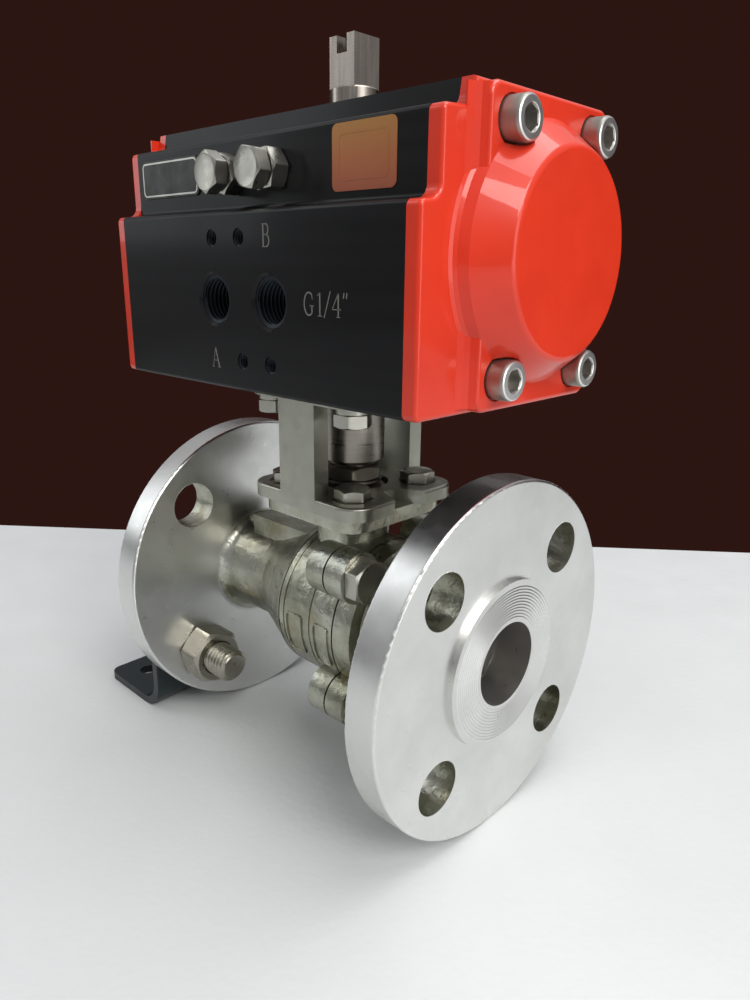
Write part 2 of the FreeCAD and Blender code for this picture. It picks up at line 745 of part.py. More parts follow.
def make_coupling():
    sleeve = turned("coupling_sleeve", "z", [
        ("coupling_bottom", "0"),
        ("coupling_bottom", "coupling_dia/2-1"),
        ("coupling_bottom+1", "coupling_dia/2"),
        ("yoke_top-0.4", "coupling_dia/2"),
        ("yoke_top-0.4", "0"),
    ])
    male = square_bar("coupling_square", "drive_square", "yoke_top-1", "yoke_top+8.5")
    socket = square_bar("coupling_socket", "stem_square+0.1", "coupling_bottom-1", "stem_top+0.6")
    return cut("coupling", fuse("coupling_blank", [sleeve, male]), [socket])


# ---------------------------------------------------------------- actuator housing
HOUSING = [
    # the extrusion's section, (y, z), from the port face round over the top
    ("-port_face", "yoke_top"),
    ("-port_face", "port_face_top"),
    ("-side_face", "port_face_top+0.8"),
    ("-side_face", "side_face_top"),
    ("-ridge_side-1", "side_face_top+0.6"),
    ("-ridge_side", "body_top"),
    ("ridge_side", "body_top"),
    ("ridge_side+1", "side_face_top+0.6"),
    ("back_face", "side_face_top"),
    ("back_face", "yoke_top"),
]


def make_actuator_body():
    shell = new_body("housing_shell")
    pad(shell, "housing_pad", outline(shell, "housing_section", "YZ_Plane", HOUSING),
        "2*body_half_length")
    long_edge = value("2*body_half_length") - 0.1
    round_edges(shell, "housing_edges", "housing_edge",
                lambda e: e.BoundBox.XLength > long_edge and e.BoundBox.ZMin < value("body_top"))
    shell.setExpression("Placement.Base.x", bound("-body_half_length"))

    wall_low, wall_high = "yoke_top", "cylinder_z+cylinder_dia/2"
    face = "-port_face"
    tools = [
        rod("cylinder_bore", "cylinder_dia", "2*body_half_length+2", "x",
            ("-body_half_length-1", "0", "cylinder_z")),
        rod("bush_hole_low", "journal_low_dia+4", "20", "z", ("0", "0", f"{wall_low}-1")),
        rod("bush_hole_high", "journal_top_dia+4", "20", "z", ("0", "0", f"{wall_high}-6")),
    ]
    for name, sign in (("left", -1), ("right", 1)):
        x = f"{sign}*port_offset"
        tools.append(rod(f"port_{name}", "port_dia", "port_depth+1", "y", (x, f"{face}-1", "port_z")))
        chamfer = primitive("Cone", f"port_{name}_lead", "y", (x, f"{face}-0.01", "port_z"),
                            Radius1="port_dia/2+0.8", Radius2="port_dia/2-0.2", Height="1")
        tools.append(chamfer)
        tools.append(rod(f"stop_hole_{name}", "small_bolt_dia+2*running_gap", "side_face", "y",
                         (f"{sign}*stop_x", "-side_face-1", "stop_z")))
    # left port feeds the space between the pistons, right port the two ends
    tools.append(rod("left_port_way", "5", "14", "y",
                     ("-port_offset", "-port_face+port_depth-1", "port_z")))
    tools.append(rod("right_port_way", "channel_dia", "port_z-channel_z", "z",
                     ("port_offset", "-channel_y", "channel_z")))
    tools.append(rod("air_channel", "channel_dia", "2*body_half_length+2", "x",
                     ("-body_half_length-1", "-channel_y", "channel_z")))
    screw_rows = [(-1, 1), (0, 1), (0, -1), (1, -1)]
    for k, (cx, cz) in enumerate(screw_rows):
        tools.append(rod(f"port_screw_hole_{k}", "port_screw_dia", "8", "y",
                         (f"{cx}*port_offset", f"{face}-1", f"port_z+{cz}*port_screw_offset")))
    for k, (cx, cy) in enumerate(CORNERS):
        tools.append(rod(f"mount_tap_{k}", "small_bolt_dia", "10", "z",
                         (f"{cx}*top_bolts", f"{cy}*top_bolts", f"{wall_low}-1")))
        tools.append(rod(f"accessory_tap_{k}", "4.6", "9", "z",
                         (f"{cx}*40", f"{cy}*15", "body_top-8")))
        for end, way in ((1, "-x"), (-1, "x")):
            tools.append(rod(f"cap_screw_tap_{k}_{way}", "6", "13", way,
                             (f"{end}*(body_half_length+1)", f"{cx}*cap_screw_y",
                              f"cylinder_z+{cy}*cap_screw_z")))
    return cut("actuator_body", shell, tools)


def cap_flare(name, sign):
    """The curve by which one side of the block runs out into the plate."""
    flare = new_body(f"cap_flare_{name}")
    profile = [
        ("cap_plate-0.5", "block_half+3.6"),
        ("cap_plate", "block_half+3.6"),
        ("cap_plate+0.6", "block_half+1.7"),
        ("cap_plate+1.5", "block_half+0.6"),
        ("cap_block-0.8", "block_half-0.1"),
        ("cap_block-0.8", "block_half-1.5"),
        ("cap_plate-0.5", "block_half-1.5"),
    ]
    sketch = outline(flare, f"cap_flare_{name}_outline", "XY_Plane",
                     [(x, f"{sign}*({y})") for x, y in profile])
    pad(flare, f"cap_flare_{name}_pad", sketch, "body_top-yoke_top-3")
    flare.setExpression("Placement.Base.x", bound("body_half_length"))
    flare.setExpression("Placement.Base.z", bound("yoke_top+1.5"))
    return flare


def stands_at(edge, places):
    """True where an edge along X stands at one of some (y, z) places."""
    middle = edge.BoundBox.Center
    return any(math.hypot(middle.y - value(y), middle.z - value(z)) < 0.05 for y, z in places)


def is_step(edge):
    """An inner corner of the housing's section."""
    return stands_at(edge, [HOUSING[2], HOUSING[4], HOUSING[7]])


def is_corner(edge):
    """An outer corner of the housing's section that shows beside the block."""
    return stands_at(edge, [HOUSING[0], HOUSING[1], HOUSING[3], HOUSING[8], HOUSING[9]])


def make_end_cap():
    """The right-hand cap: a full-section plate, a block and a round dome."""
    plate = new_body("cap_plate_solid")
    pad(plate, "cap_plate_pad", outline(plate, "cap_plate_section", "YZ_Plane", HOUSING),
        "cap_plate")
    long_edge = value("cap_plate") - 0.1
    round_edges(plate, "cap_plate_steps", "plate_step_round",
                lambda e: e.BoundBox.XLength > long_edge and is_step(e))
    round_edges(plate, "cap_plate_corners", "plate_edge",
                lambda e: e.BoundBox.XLength > long_edge and is_corner(e))
    round_edges(plate, "cap_plate_rim", "plate_rim", lambda e: spans(e, "x", value("cap_plate")))
    front = new_body("cap_block_solid")
    low, high = "yoke_top+0.3", "body_top-0.7"
    pad(front, "cap_block_pad", outline(front, "cap_block_section", "YZ_Plane", [
        ("-block_half", low), ("-block_half", high), ("block_half", high), ("block_half", low)]),
        "cap_block")
    round_edges(front, "cap_block_corners", "block_corner",
                lambda e: e.BoundBox.XLength > value("cap_block") - 0.1)
    round_edges(front, "cap_block_front", "block_edge",
                lambda e: spans(e, "x", value("cap_block")))
    for solid in (plate, front):
        solid.setExpression("Placement.Base.x", bound("body_half_length"))
    dome = turned("cap_dome_solid", "x", [
        ("1", "0"),
        ("1", "dome_root+1.6"),
        ("cap_plate", "dome_root+1.6"),
        ("cap_plate+0.4", "dome_root+0.7"),
        ("cap_plate+1.2", "dome_root"),
        ("cap_block", "dome_shoulder"),
        ("cap_dome", "dome_crown"),
        ("cap_dome", "0"),
    ])
    round_edges(dome, "cap_dome_edge", "dome_edge", lambda e: spans(e, "x", value("cap_dome")))
    dome.setExpression("Placement.Base.x", bound("body_half_length"))
    dome.setExpression("Placement.Base.z", bound("cylinder_z"))

    tools = [
        rod("cap_hollow", "cap_hollow_dia", "spigot_long+12", "x",
            ("body_half_length-spigot_long-1", "0", "cylinder_z")),
        block("cap_air_way", ("body_half_length-spigot_long-1", "-channel_y-1.8", "channel_z-1.8"),
              ("body_half_length+1.8", "0", "channel_z+1.8")),
        cut("cap_seal_groove",
            rod("seal_groove_outer", "cylinder_dia+2", "groove_wide", "x",
                ("body_half_length-spigot_long+0.9", "0", "cylinder_z")),
            [rod("seal_groove_inner", "cylinder_dia-4.5", "groove_wide", "x",
                 ("body_half_length-spigot_long+0.9", "0", "cylinder_z"))]),
    ]
    for k, (cy, cz) in enumerate(CORNERS):
        at = (f"{cy}*cap_screw_y", f"cylinder_z+{cz}*cap_screw_z")
        tools.append(rod(f"cap_screw_hole_{k}", "cap_screw_clear", "cap_block+2", "x",
                         ("body_half_length-1", *at)))
        tools.append(rod(f"cap_screw_seat_{k}", "cap_screw_head_dia+1", "cap_dome", "x",
                         ("body_half_length+cap_block-cap_screw_sunk", *at)))
    flares = [cap_flare(name, sign) for name, sign in (("front", -1), ("back", 1))]
    spigot = rod("cap_spigot", "cylinder_dia-0.3", "spigot_long+1", "x",
                 ("body_half_length-spigot_long", "0", "cylinder_z"))
    return cut("end_cap_right", fuse("end_cap_solid", [plate, front, dome, spigot] + flares), tools)


def mirrored(name, piece):
    """The same piece on the other side of the stem."""
    image = doc.addObject("Part::Mirroring", name)
    image.Source = piece
    image.Normal = Vector(1, 0, 0)
    return image


def make_cap_screws(name, end):
    """Four socket-head cap screws along X."""
    screws = []
    seat = "body_half_length+cap_block-cap_screw_sunk"
    way, back = ("x", "-x") if end > 0 else ("-x", "x")
    for k, (cy, cz) in enumerate(CORNERS):
        at = (f"{cy}*cap_screw_y", f"cylinder_z+{cz}*cap_screw_z")
        head = rod(f"{name}_head_{k}", "cap_screw_head_dia", "cap_screw_head", way,
                   (f"{end}*({seat})", *at))
        shank = rod(f"{name}_shank_{k}", "cap_screw_dia", "cap_screw_shank+1", back,
                    (f"{end}*({seat}+1)", *at))
        socket = hexagon(f"{name}_socket_{k}", "cap_screw_key", "cap_screw_key_deep+1", way,
                         (f"{end}*({seat}+cap_screw_head-cap_screw_key_deep)", *at))
        screws.append(cut(f"{name}_{k}", fuse(f"{name}_blank_{k}", [head, shank]), [socket]))
    return group(name, screws)


def torus(name, ring_radius, section_radius, along, at):
    return primitive("Torus", name, along, at, Radius1=ring_radius, Radius2=section_radius)


# ---------------------------------------------------------------- drive
def gear_wheel(name):
    """Involute spur gear about Z with a tooth centred on +X, from the sheet's numbers."""
    module, teeth = value("gear_module"), int(value("gear_teeth"))
    pressure = math.radians(20)
    pitch = module * teeth / 2
    base = pitch * math.cos(pressure)
    tip, root = pitch + 0.95 * module, pitch - 1.25 * module
    involute = math.tan(pressure) - pressure
    half_pitch_angle = math.pi / (2 * teeth) - value("backlash") / pitch

    def flank(radius):
        turn = math.acos(min(1, base / radius))
        return half_pitch_angle + involute - (math.tan(turn) - turn)

    start = max(base, root)
    radii = [start + (tip - start) * k / 4 for k in range(5)]
    points = []
    for tooth in range(teeth):
        middle = 2 * math.pi * tooth / teeth
        side = [(root, flank(start))] + [(r, flank(r)) for r in radii]
        for radius, angle in side:
            points.append((radius, middle - angle))
        for radius, angle in reversed(side):
            points.append((radius, middle + angle))
    corners = [Vector(r * math.cos(a), r * math.sin(a), 0) for r, a in points]
    face = Part.Face(Part.makePolygon(corners + corners[:1]))
    wheel = doc.addObject("Part::Feature", name)
    wheel.Shape = face.extrude(Vector(0, 0, value("gear_top-gear_bottom")))
    wheel.Placement.Base.z = value("gear_bottom")
    return wheel


def make_pinion():
    """Gear, journals and drive square in one; the slot and square stand out on top."""
    gear_root = "gear_module*(gear_teeth/2-1.3)"
    shaft = turned("pinion_shaft", "z", [
        ("yoke_top+0.3", "0"),
        ("yoke_top+0.3", "journal_low_dia/2"),
        ("gear_bottom-8", "journal_low_dia/2"),
        ("gear_bottom-8", gear_root),
        ("gear_top", gear_root),
        ("gear_top", "journal_top_dia/2"),
        ("body_top-6.2", "journal_top_dia/2"),
        ("body_top-6.2", "journal_top_dia/2-2"),
        ("body_top-4", "journal_top_dia/2-2"),
        ("body_top-4", "journal_top_dia/2"),
        ("body_top+1.3", "journal_top_dia/2"),
        ("body_top+1.3", "journal_top_dia/2-0.6"),
        ("body_top+2.3", "journal_top_dia/2-0.6"),
        ("body_top+2.3", "journal_top_dia/2"),
        ("pinion_shoulder-0.4", "journal_top_dia/2"),
        ("pinion_shoulder", "journal_top_dia/2-0.4"),
        ("pinion_shoulder", "0"),
    ])
    head = square_bar("pinion_head", "pinion_square", "pinion_shoulder-1", "pinion_top")
    low = "yoke_top"
    tools = [
        square_bar("pinion_socket", "drive_square+0.1", f"{low}-1", f"{low}+9"),
        block("pinion_slot", ("-slot_width/2", "-8", "pinion_top-slot_depth"),
              ("slot_width/2", "8", "pinion_top+1")),
        rod("pinion_screw_hole", "5", "13", "z", ("0", "0", "pinion_top-12")),
        cut("pinion_low_groove",
            rod("low_groove_outer", "journal_low_dia+2", "groove_wide", "z", ("0", "0", f"{low}+4.5")),
            [rod("low_groove_inner", "journal_low_dia-4", "groove_wide", "z", ("0", "0", f"{low}+4.5"))]),
    ]
    return cut("pinion", fuse("pinion_blank", [shaft, gear_wheel("pinion_teeth"), head]), tools)


def make_stop_cam():
    """A lobe with two faces a quarter turn apart; each meets one stop bolt."""
    at = ("0", "0", "cam_bottom")
    lobe = rod("cam_lobe", "cam_dia", "cam_thick", "z", at)
    reach = "cam_dia"
    away = [
        block("cam_cut_front", (f"-{reach}", f"-{reach}", "cam_bottom-1"),
              (reach, "-cam_face", "cam_bottom+cam_thick+1")),
        block("cam_cut_left", (f"-{reach}", f"-{reach}", "cam_bottom-1"),
              ("-cam_face", reach, "cam_bottom+cam_thick+1")),
        block("cam_cut_corner", (f"-{reach}", f"-{reach}", "cam_bottom-1"),
              ("0", "0", "cam_bottom+cam_thick+1")),
    ]
    hub = rod("cam_hub", "cam_hub_dia", "cam_thick", "z", at)
    shaft_hole = rod("cam_shaft_hole", "journal_top_dia", "cam_thick+2", "z",
                     ("0", "0", "cam_bottom-1"))
    solid = fuse("cam_blank", [cut("cam_sector", lobe, away), hub])
    return cut("stop_cam", solid, [shaft_hole])


def rack_teeth(body):
    """Arm section seen from above: straight-sided teeth that mesh with the gear."""
    module = "gear_module"
    pitch_line = "-gear_module*gear_teeth/2"
    root = f"{pitch_line}-1.25*{module}"
    tip = f"{pitch_line}+0.95*{module}"
    slope = math.tan(math.radians(20))
    points = [("piston_inner+1", "-rack_back_dia/2"), ("piston_inner+1", root)]
    for k in range(2, -7, -1):
        middle = f"({k}+0.5)*pi*{module}"
        at_tip = f"pi*{module}/4-backlash-{0.95 * slope}*{module}"
        at_root = f"pi*{module}/4-backlash+{1.25 * slope}*{module}"
        points += [
            (f"{middle}+{at_root}", root), (f"{middle}+{at_tip}", tip),
            (f"{middle}-({at_tip})", tip), (f"{middle}-({at_root})", root),
        ]
    points += [("-rack_end", root), ("-rack_end", "-rack_back_dia/2")]
    return outline(body, "rack_section", "XY_Plane", points)


def make_piston():
    """The right-hand piston; its rack arm runs past the pinion on the port side."""
    head = turned("piston_head", "x", [
        ("piston_inner", "0"),
        ("piston_inner", "piston_dia/2"),
        ("piston_inner+5", "piston_dia/2"),
        ("piston_inner+5", "piston_dia/2-2.2"),
        ("piston_inner+7.4", "piston_dia/2-2.2"),
        ("piston_inner+7.4", "piston_dia/2"),
        ("piston_outer", "piston_dia/2"),
        ("piston_outer", "17"),
        ("piston_outer-4", "15"),
        ("piston_outer-4", "0"),
    ])
    arm = new_body("piston_arm")
    pad(arm, "rack_pad", rack_teeth(arm), "2*rack_half_high")
    arm.setExpression("Placement.Base.z", bound("-rack_half_high"))
    inside = rod("arm_round", "rack_back_dia", "rack_end+piston_inner+3", "x",
                 ("-rack_end-1", "0", "0"))
    solid = fuse("piston_blank", [head, common("arm_trimmed", [arm, inside])])
    return solid


def make_piston_guide():
    """Slide pad on the back of the rack arm, shaped to the cylinder."""
    tube = ring("guide_tube", "cylinder_dia-0.4", "rack_back_dia", "12", "x", ("-22", "0", "0"))
    window = block("guide_window", ("-23", "-cylinder_dia", "-7"), ("-9", "0", "7"))
    return common("piston_guide", [tube, window])


def raise_to_cylinder(name, piece, half_turn):
    """A copy on the cylinder axis, as made or turned about the stem for the left side."""
    copy = doc.addObject("Part::Compound", name)
    copy.Links = [piece]
    if half_turn:
        copy.Placement.Rotation = Rotation(Vector(0, 0, 1), 180)
    copy.setExpression("Placement.Base.z", bound("cylinder_z"))
    return copy


def make_stop_bolt(name, side):
    x = f"{side}*stop_x"
    head = hexagon(f"{name}_head", "small_bolt_af-0.6", "4", "y", (x, "-stop_head_end", "stop_z"))
    shank = rod(f"{name}_shank", "small_bolt_dia", "stop_head_end-stop_tip-1", "y",
                (x, "1-stop_head_end", "stop_z"))
    return fuse(name, [head, shank])


def make_stop_nut(name, side):
    x = f"{side}*stop_x"
    at = (x, "-side_face-stop_nut_thick-0.1", "stop_z")
    blank = hexagon(f"{name}_blank", "small_bolt_af-0.6", "stop_nut_thick", "y", at, turn=12)
    hole = rod(f"{name}_hole", "small_bolt_dia+2*running_gap", "stop_nut_thick+1", "y", at)
    return cut(name, blank, [hole])


def make_tag(name, left, right, low, high, thick):
    """A thin rounded plate on the upper side face."""
    tag = new_body(name)
    sketch = outline(tag, name + "_outline", "XZ_Plane",
                     [(left, low), (right, low), (right, high), (left, high)])
    pad(tag, name + "_pad", sketch, thick)
    round_edges(tag, name + "_corners", "1.6",
                lambda e: e.BoundBox.YLength > value(thick) - 0.01)
    tag.setExpression("Placement.Base.y", bound("-side_face"))
    return tag


# ---------------------------------------------------------------- transport foot
FOOT_FACE = "-face_to_face/2+raised_face_high"
FOOT_BOLT_AT = ("-flange_circle/2/sqrt(2)", "-flange_circle/2/sqrt(2)")


def make_foot_bracket():
    """Bent strip: one leg behind the far flange, one flat on the floor."""
    bend_x, bend_z = f"{FOOT_FACE}-foot_bend", "foot_bend-flange_dia/2"
    upright = block("foot_upright", (f"{FOOT_FACE}-foot_thick", "-foot_left", bend_z),
                    (FOOT_FACE, "-foot_right", "-foot_leg_top"))
    curve = common("foot_curve", [
        ring("foot_curve_tube", "2*foot_bend", "2*(foot_bend-foot_thick)", "foot_left-foot_right",
             "y", (bend_x, "-foot_left", bend_z)),
        block("foot_curve_corner", (bend_x, "-foot_left", "-flange_dia/2"),
              (FOOT_FACE, "-foot_right", bend_z)),
    ])
    sole = new_body("foot_sole")
    pad(sole, "foot_sole_pad", outline(sole, "foot_sole_outline", "XY_Plane", [
        ("-foot_end", "-foot_left"), (bend_x, "-foot_left"),
        (bend_x, "-foot_right"), ("-foot_end", "-foot_right")]), "foot_thick")
    round_edges(sole, "foot_sole_corners", "foot_corner",
                lambda e: e.BoundBox.ZLength > 1 and spans(e, "x", -value("foot_end")))
    sole.setExpression("Placement.Base.z", bound("-flange_dia/2"))
    return cut("foot_bracket", fuse("foot_strip", [upright, curve, sole]), [
        rod("foot_bolt_hole", "foot_bolt_dia+1", "foot_thick+2", "x",
            (f"{FOOT_FACE}-foot_thick-1", *FOOT_BOLT_AT)),
        rod("foot_fixing_hole", "foot_hole_dia", "foot_thick+2", "z",
            ("-foot_hole_x", "-foot_hole_y", "-flange_dia/2-1")),
    ])


def make_foot_bolt():
    under_head = f"{FOOT_FACE}-foot_thick"
    head = hexagon("foot_bolt_head", "foot_bolt_af", "foot_bolt_head", "x",
                   (f"{under_head}-foot_bolt_head", *FOOT_BOLT_AT))
    shank = rod("foot_bolt_shank", "foot_bolt_dia-0.1", f"-foot_stud_end-({under_head})+1", "x",
                (f"{under_head}-1", *FOOT_BOLT_AT))
    return fuse("foot_bolt", [head, shank])


def make_foot_nut():
    at = (f"{FOOT_FACE}+flange_thick", *FOOT_BOLT_AT)
    blank = hexagon("foot_nut_blank", "foot_bolt_af", "foot_nut_thick", "x", at, turn=15)
    return cut("foot_nut", blank, [rod("foot_nut_hole", "foot_bolt_dia", "foot_nut_thick+1", "x", at)])


# ---------------------------------------------------------------- assembly
node("valve_body", make_valve_body())
node("body_cap", make_body_cap())
node("ball", make_ball())
node("seat_ring_inlet", make_seat("seat_inlet", -1))
node("seat_ring_outlet", make_seat("seat_outlet", 1))
node("body_gasket", ring("gasket", "gasket_dia", "cavity_dia", "gasket_thick", "x",
                         ("joint_x-gasket_thick", "0", "0")))
node("stem", make_stem())
node("stem_thrust_washer", ring("thrust", "collar_dia", "stem_dia+2*running_gap", "1.4", "z",
                                ("0", "0", "collar_top+0.05")))
node("stem_packing", make_packing())
node("gland_ring", make_gland())
node("spring_washers", make_spring_washers())
node("stem_nut", make_stem_nut())
node("body_bolts", make_body_bolts())
node("yoke", make_yoke())
node("yoke_base_bolts", make_base_bolts())
node("yoke_top_bolts", make_top_bolts())
node("coupling", make_coupling())

node("actuator_body", make_actuator_body())
right_cap = make_end_cap()
node("end_cap_left", mirrored("end_cap_left", right_cap))
node("end_cap_right", group("end_cap_right_place", [right_cap]))
seal_x = "body_half_length-spigot_long+2"
cap_seal = torus("cap_seal", "cylinder_dia/2-1.15", "0.95", "x", (seal_x, "0", "cylinder_z"))
node("end_cap_seal_right", group("cap_seal_right", [cap_seal]))
node("end_cap_seal_left", mirrored("cap_seal_left", cap_seal))
node("cap_screws_right", make_cap_screws("cap_screw_right", 1))
node("cap_screws_left", make_cap_screws("cap_screw_left", -1))

node("pinion", make_pinion())
node("stop_cam", make_stop_cam())
node("pinion_bush_low", ring("bush_low", "journal_low_dia+4", "journal_low_dia+2*running_gap",
                             "9.2", "z", ("0", "0", "yoke_top+0.4")))
node("pinion_bush_top", ring("bush_top", "journal_top_dia+4", "journal_top_dia+2*running_gap",
                             "body_top-cylinder_z-cylinder_dia/2-0.6", "z",
                             ("0", "0", "cylinder_z+cylinder_dia/2+0.5")))
node("pinion_seals", group("pinion_seal_pair", [
    torus("pinion_seal_low", "journal_low_dia/2-1", "0.93", "z", ("0", "0", "yoke_top+5.6")),
    torus("pinion_seal_top", "journal_top_dia/2-1", "0.93", "z", ("0", "0", "body_top-5.1"))]))
node("pinion_thrust_washer", ring("pinion_washer", "journal_top_dia+6",
                                  "journal_top_dia+2*running_gap", "1.2", "z",
                                  ("0", "0", "body_top+0.05")))
node("pinion_circlip", ring("circlip", "journal_top_dia+3", "journal_top_dia-1.1", "0.9", "z",
                            ("0", "0", "body_top+1.35")))

piston = make_piston()
guide = make_piston_guide()
seal_at = "piston_inner+6.2"
piston_seal = torus("piston_seal_ring", "piston_dia/2-1.15", "1.05", "x", (seal_at, "0", "0"))
for side, turned_round in (("right", False), ("left", True)):
    node(f"piston_{side}", raise_to_cylinder(f"piston_{side}_at", piston, turned_round))
    node(f"piston_seal_{side}", raise_to_cylinder(f"seal_{side}_at", piston_seal, turned_round))
    node(f"piston_guide_{side}", raise_to_cylinder(f"guide_{side}_at", guide, turned_round))

for side, sign in (("left", -1), ("right", 1)):
    node(f"stop_bolt_{side}", make_stop_bolt(f"stop_bolt_{side}_made", sign))
    node(f"stop_nut_{side}", make_stop_nut(f"stop_nut_{side}_made", sign))
node("badge", make_tag("badge_plate", "-badge_left", "-badge_right", "badge_low", "badge_high",
                       "badge_thick"))
node("label", make_tag("label_plate", "label_left", "label_right", "label_low", "label_high",
                       "label_thick"))
node("foot_bracket", make_foot_bracket())
node("foot_bolt", make_foot_bolt())
node("foot_nut", make_foot_nut())

# ---------------------------------------------------------------- checks and export
doc.recompute()
failed = [o.Name for o in doc.Objects if {"Invalid", "Error"} & set(o.State)]
if failed:
    raise SystemExit("failed objects: " + ", ".join(failed))
for name, piece in NODES.items():
    shape = piece.Shape
    if shape.isNull() or not shape.isValid() or not shape.Solids:
        raise SystemExit(f"bad shape: {name}")
for name, piece in NODES.items():
    piece.Shape.exportStep(f"parts/{name}.step")
print(len(NODES), "sub-parts written")
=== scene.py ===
import json
import math

import bmesh
import bpy
from mathutils import Matrix, Vector


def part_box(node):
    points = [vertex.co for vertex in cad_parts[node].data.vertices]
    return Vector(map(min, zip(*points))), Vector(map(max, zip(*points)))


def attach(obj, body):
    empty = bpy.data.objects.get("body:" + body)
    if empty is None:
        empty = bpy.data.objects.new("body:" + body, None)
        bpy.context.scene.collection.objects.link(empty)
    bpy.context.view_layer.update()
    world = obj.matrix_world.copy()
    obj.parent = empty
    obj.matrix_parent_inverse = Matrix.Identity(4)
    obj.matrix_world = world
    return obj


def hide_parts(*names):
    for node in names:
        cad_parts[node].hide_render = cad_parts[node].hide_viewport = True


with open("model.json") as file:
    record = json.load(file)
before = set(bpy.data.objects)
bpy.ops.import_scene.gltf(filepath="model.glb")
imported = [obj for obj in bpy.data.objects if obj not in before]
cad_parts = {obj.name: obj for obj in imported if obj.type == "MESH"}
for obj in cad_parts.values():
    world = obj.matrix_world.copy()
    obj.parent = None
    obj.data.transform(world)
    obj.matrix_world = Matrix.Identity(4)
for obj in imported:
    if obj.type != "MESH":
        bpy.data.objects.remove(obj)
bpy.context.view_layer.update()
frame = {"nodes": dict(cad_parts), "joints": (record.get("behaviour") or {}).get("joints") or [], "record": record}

# Pneumatic actuated valve. Lengths are in metres, in the row frame: the origin is the
# centre of the outlet's raised face, +X out of the outlet, +Z up, air ports towards -Y.

MM = 0.001
SINK = 0.1 * MM  # how far a made shape runs into the next one, so that no gap shows
NODES = frame["nodes"]
MOUNTS = {mount["name"]: mount for mount in frame["record"]["mounts"]}
JOINTS = {joint["name"]: joint for joint in frame["joints"]}
STEM_X = JOINTS["quarter_turn"]["pos_m"][0]
STEM = Vector((STEM_X, 0, 0))
FLOOR_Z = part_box("foot_bracket")[0][2]


# ---------------------------------------------------------------- mesh helpers
# An edge is shaded sharp where it turns by more than this many degrees.
CAST_EDGE, SOCKET_EDGE, HEXAGON_EDGE, GROOVE_EDGE = 35, 30, 28, 20


def middle(node):
    low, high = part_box(node)
    return (Vector(low) + Vector(high)) / 2


def axis_frame(centre, axis, turn=0.0):
    """Places a piece that was built along +Z so that it points along an axis."""
    direction = Vector(axis).normalized()
    rotation = direction.to_track_quat("Z", "Y").to_matrix().to_4x4()
    return Matrix.Translation(centre) @ rotation @ Matrix.Rotation(math.radians(turn), 4, "Z")


def new_piece(name, bm, material, body, sharp_from=CAST_EDGE):
    """A finished mesh object that rides on a CAD body."""
    bmesh.ops.recalc_face_normals(bm, faces=bm.faces)
    mesh = bpy.data.meshes.new(name)
    bm.to_mesh(mesh)
    bm.free()
    piece = bpy.data.objects.new(name, mesh)
    bpy.context.scene.collection.objects.link(piece)
    mesh.materials.append(material)
    mesh.shade_smooth()
    mesh.set_sharp_from_angle(angle=math.radians(sharp_from))
    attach(piece, body)
    return piece


def ring_of(bm, matrix, points):
    return [bm.verts.new(matrix @ Vector(point)) for point in points]


def bridge(bm, lower, upper):
    count = len(lower)
    for k in range(count):
        after = (k + 1) % count
        bm.faces.new((lower[k], lower[after], upper[after], upper[k]))


def stack(bm, matrix, rings, close_start=True, close_end=True):
    """Skins a list of equal-length point rings; a closed end gets a flat cap."""
    made = [ring_of(bm, matrix, ring) for ring in rings]
    for lower, upper in zip(made, made[1:]):
        bridge(bm, lower, upper)
    if close_start:
        bm.faces.new(list(reversed(made[0])))
    if close_end:
        bm.faces.new(made[-1])
    return made


def circle(radius, height, count):
    return [
        (radius * math.cos(2 * math.pi * k / count), radius * math.sin(2 * math.pi * k / count), height)
        for k in range(count)
    ]


def lathe(bm, matrix, profile, count=64, closed=False):
    """Turns (radius, height) points about Z; closed joins the last ring to the first."""
    made = [ring_of(bm, matrix, circle(radius, height, count)) for radius, height in profile]
    for lower, upper in zip(made, made[1:]):
        bridge(bm, lower, upper)
    if closed:
        bridge(bm, made[-1], made[0])
    else:
        bm.faces.new(list(reversed(made[0])))
        bm.faces.new(made[-1])


HEX_SEGMENTS = 96
HEX_CORNER = 0.985  # the rounded corner's share of a sharp corner's radius
HEX_CHAMFER = math.radians(30)


def hex_radius(angle, flats):
    """Distance from the centre to the side of a hexagon, with slightly rounded corners."""
    sector = math.pi / 3
    offset = (angle + sector / 2) % sector - sector / 2
    corner_limit = flats / 2 / math.cos(sector / 2) * HEX_CORNER
    return min(flats / 2 / math.cos(offset), corner_limit)


def hex_ring(flats, top, bevel_from, upwards):
    """One rim of a hexagon whose corners are cut back by a cone."""
    points = []
    for k in range(HEX_SEGMENTS):
        angle = 2 * math.pi * k / HEX_SEGMENTS
        radius = hex_radius(angle, flats)
        drop = max(0.0, radius - bevel_from) * math.tan(HEX_CHAMFER)
        height = top - drop if upwards else top + drop
        points.append((radius * math.cos(angle), radius * math.sin(angle), height))
    return points


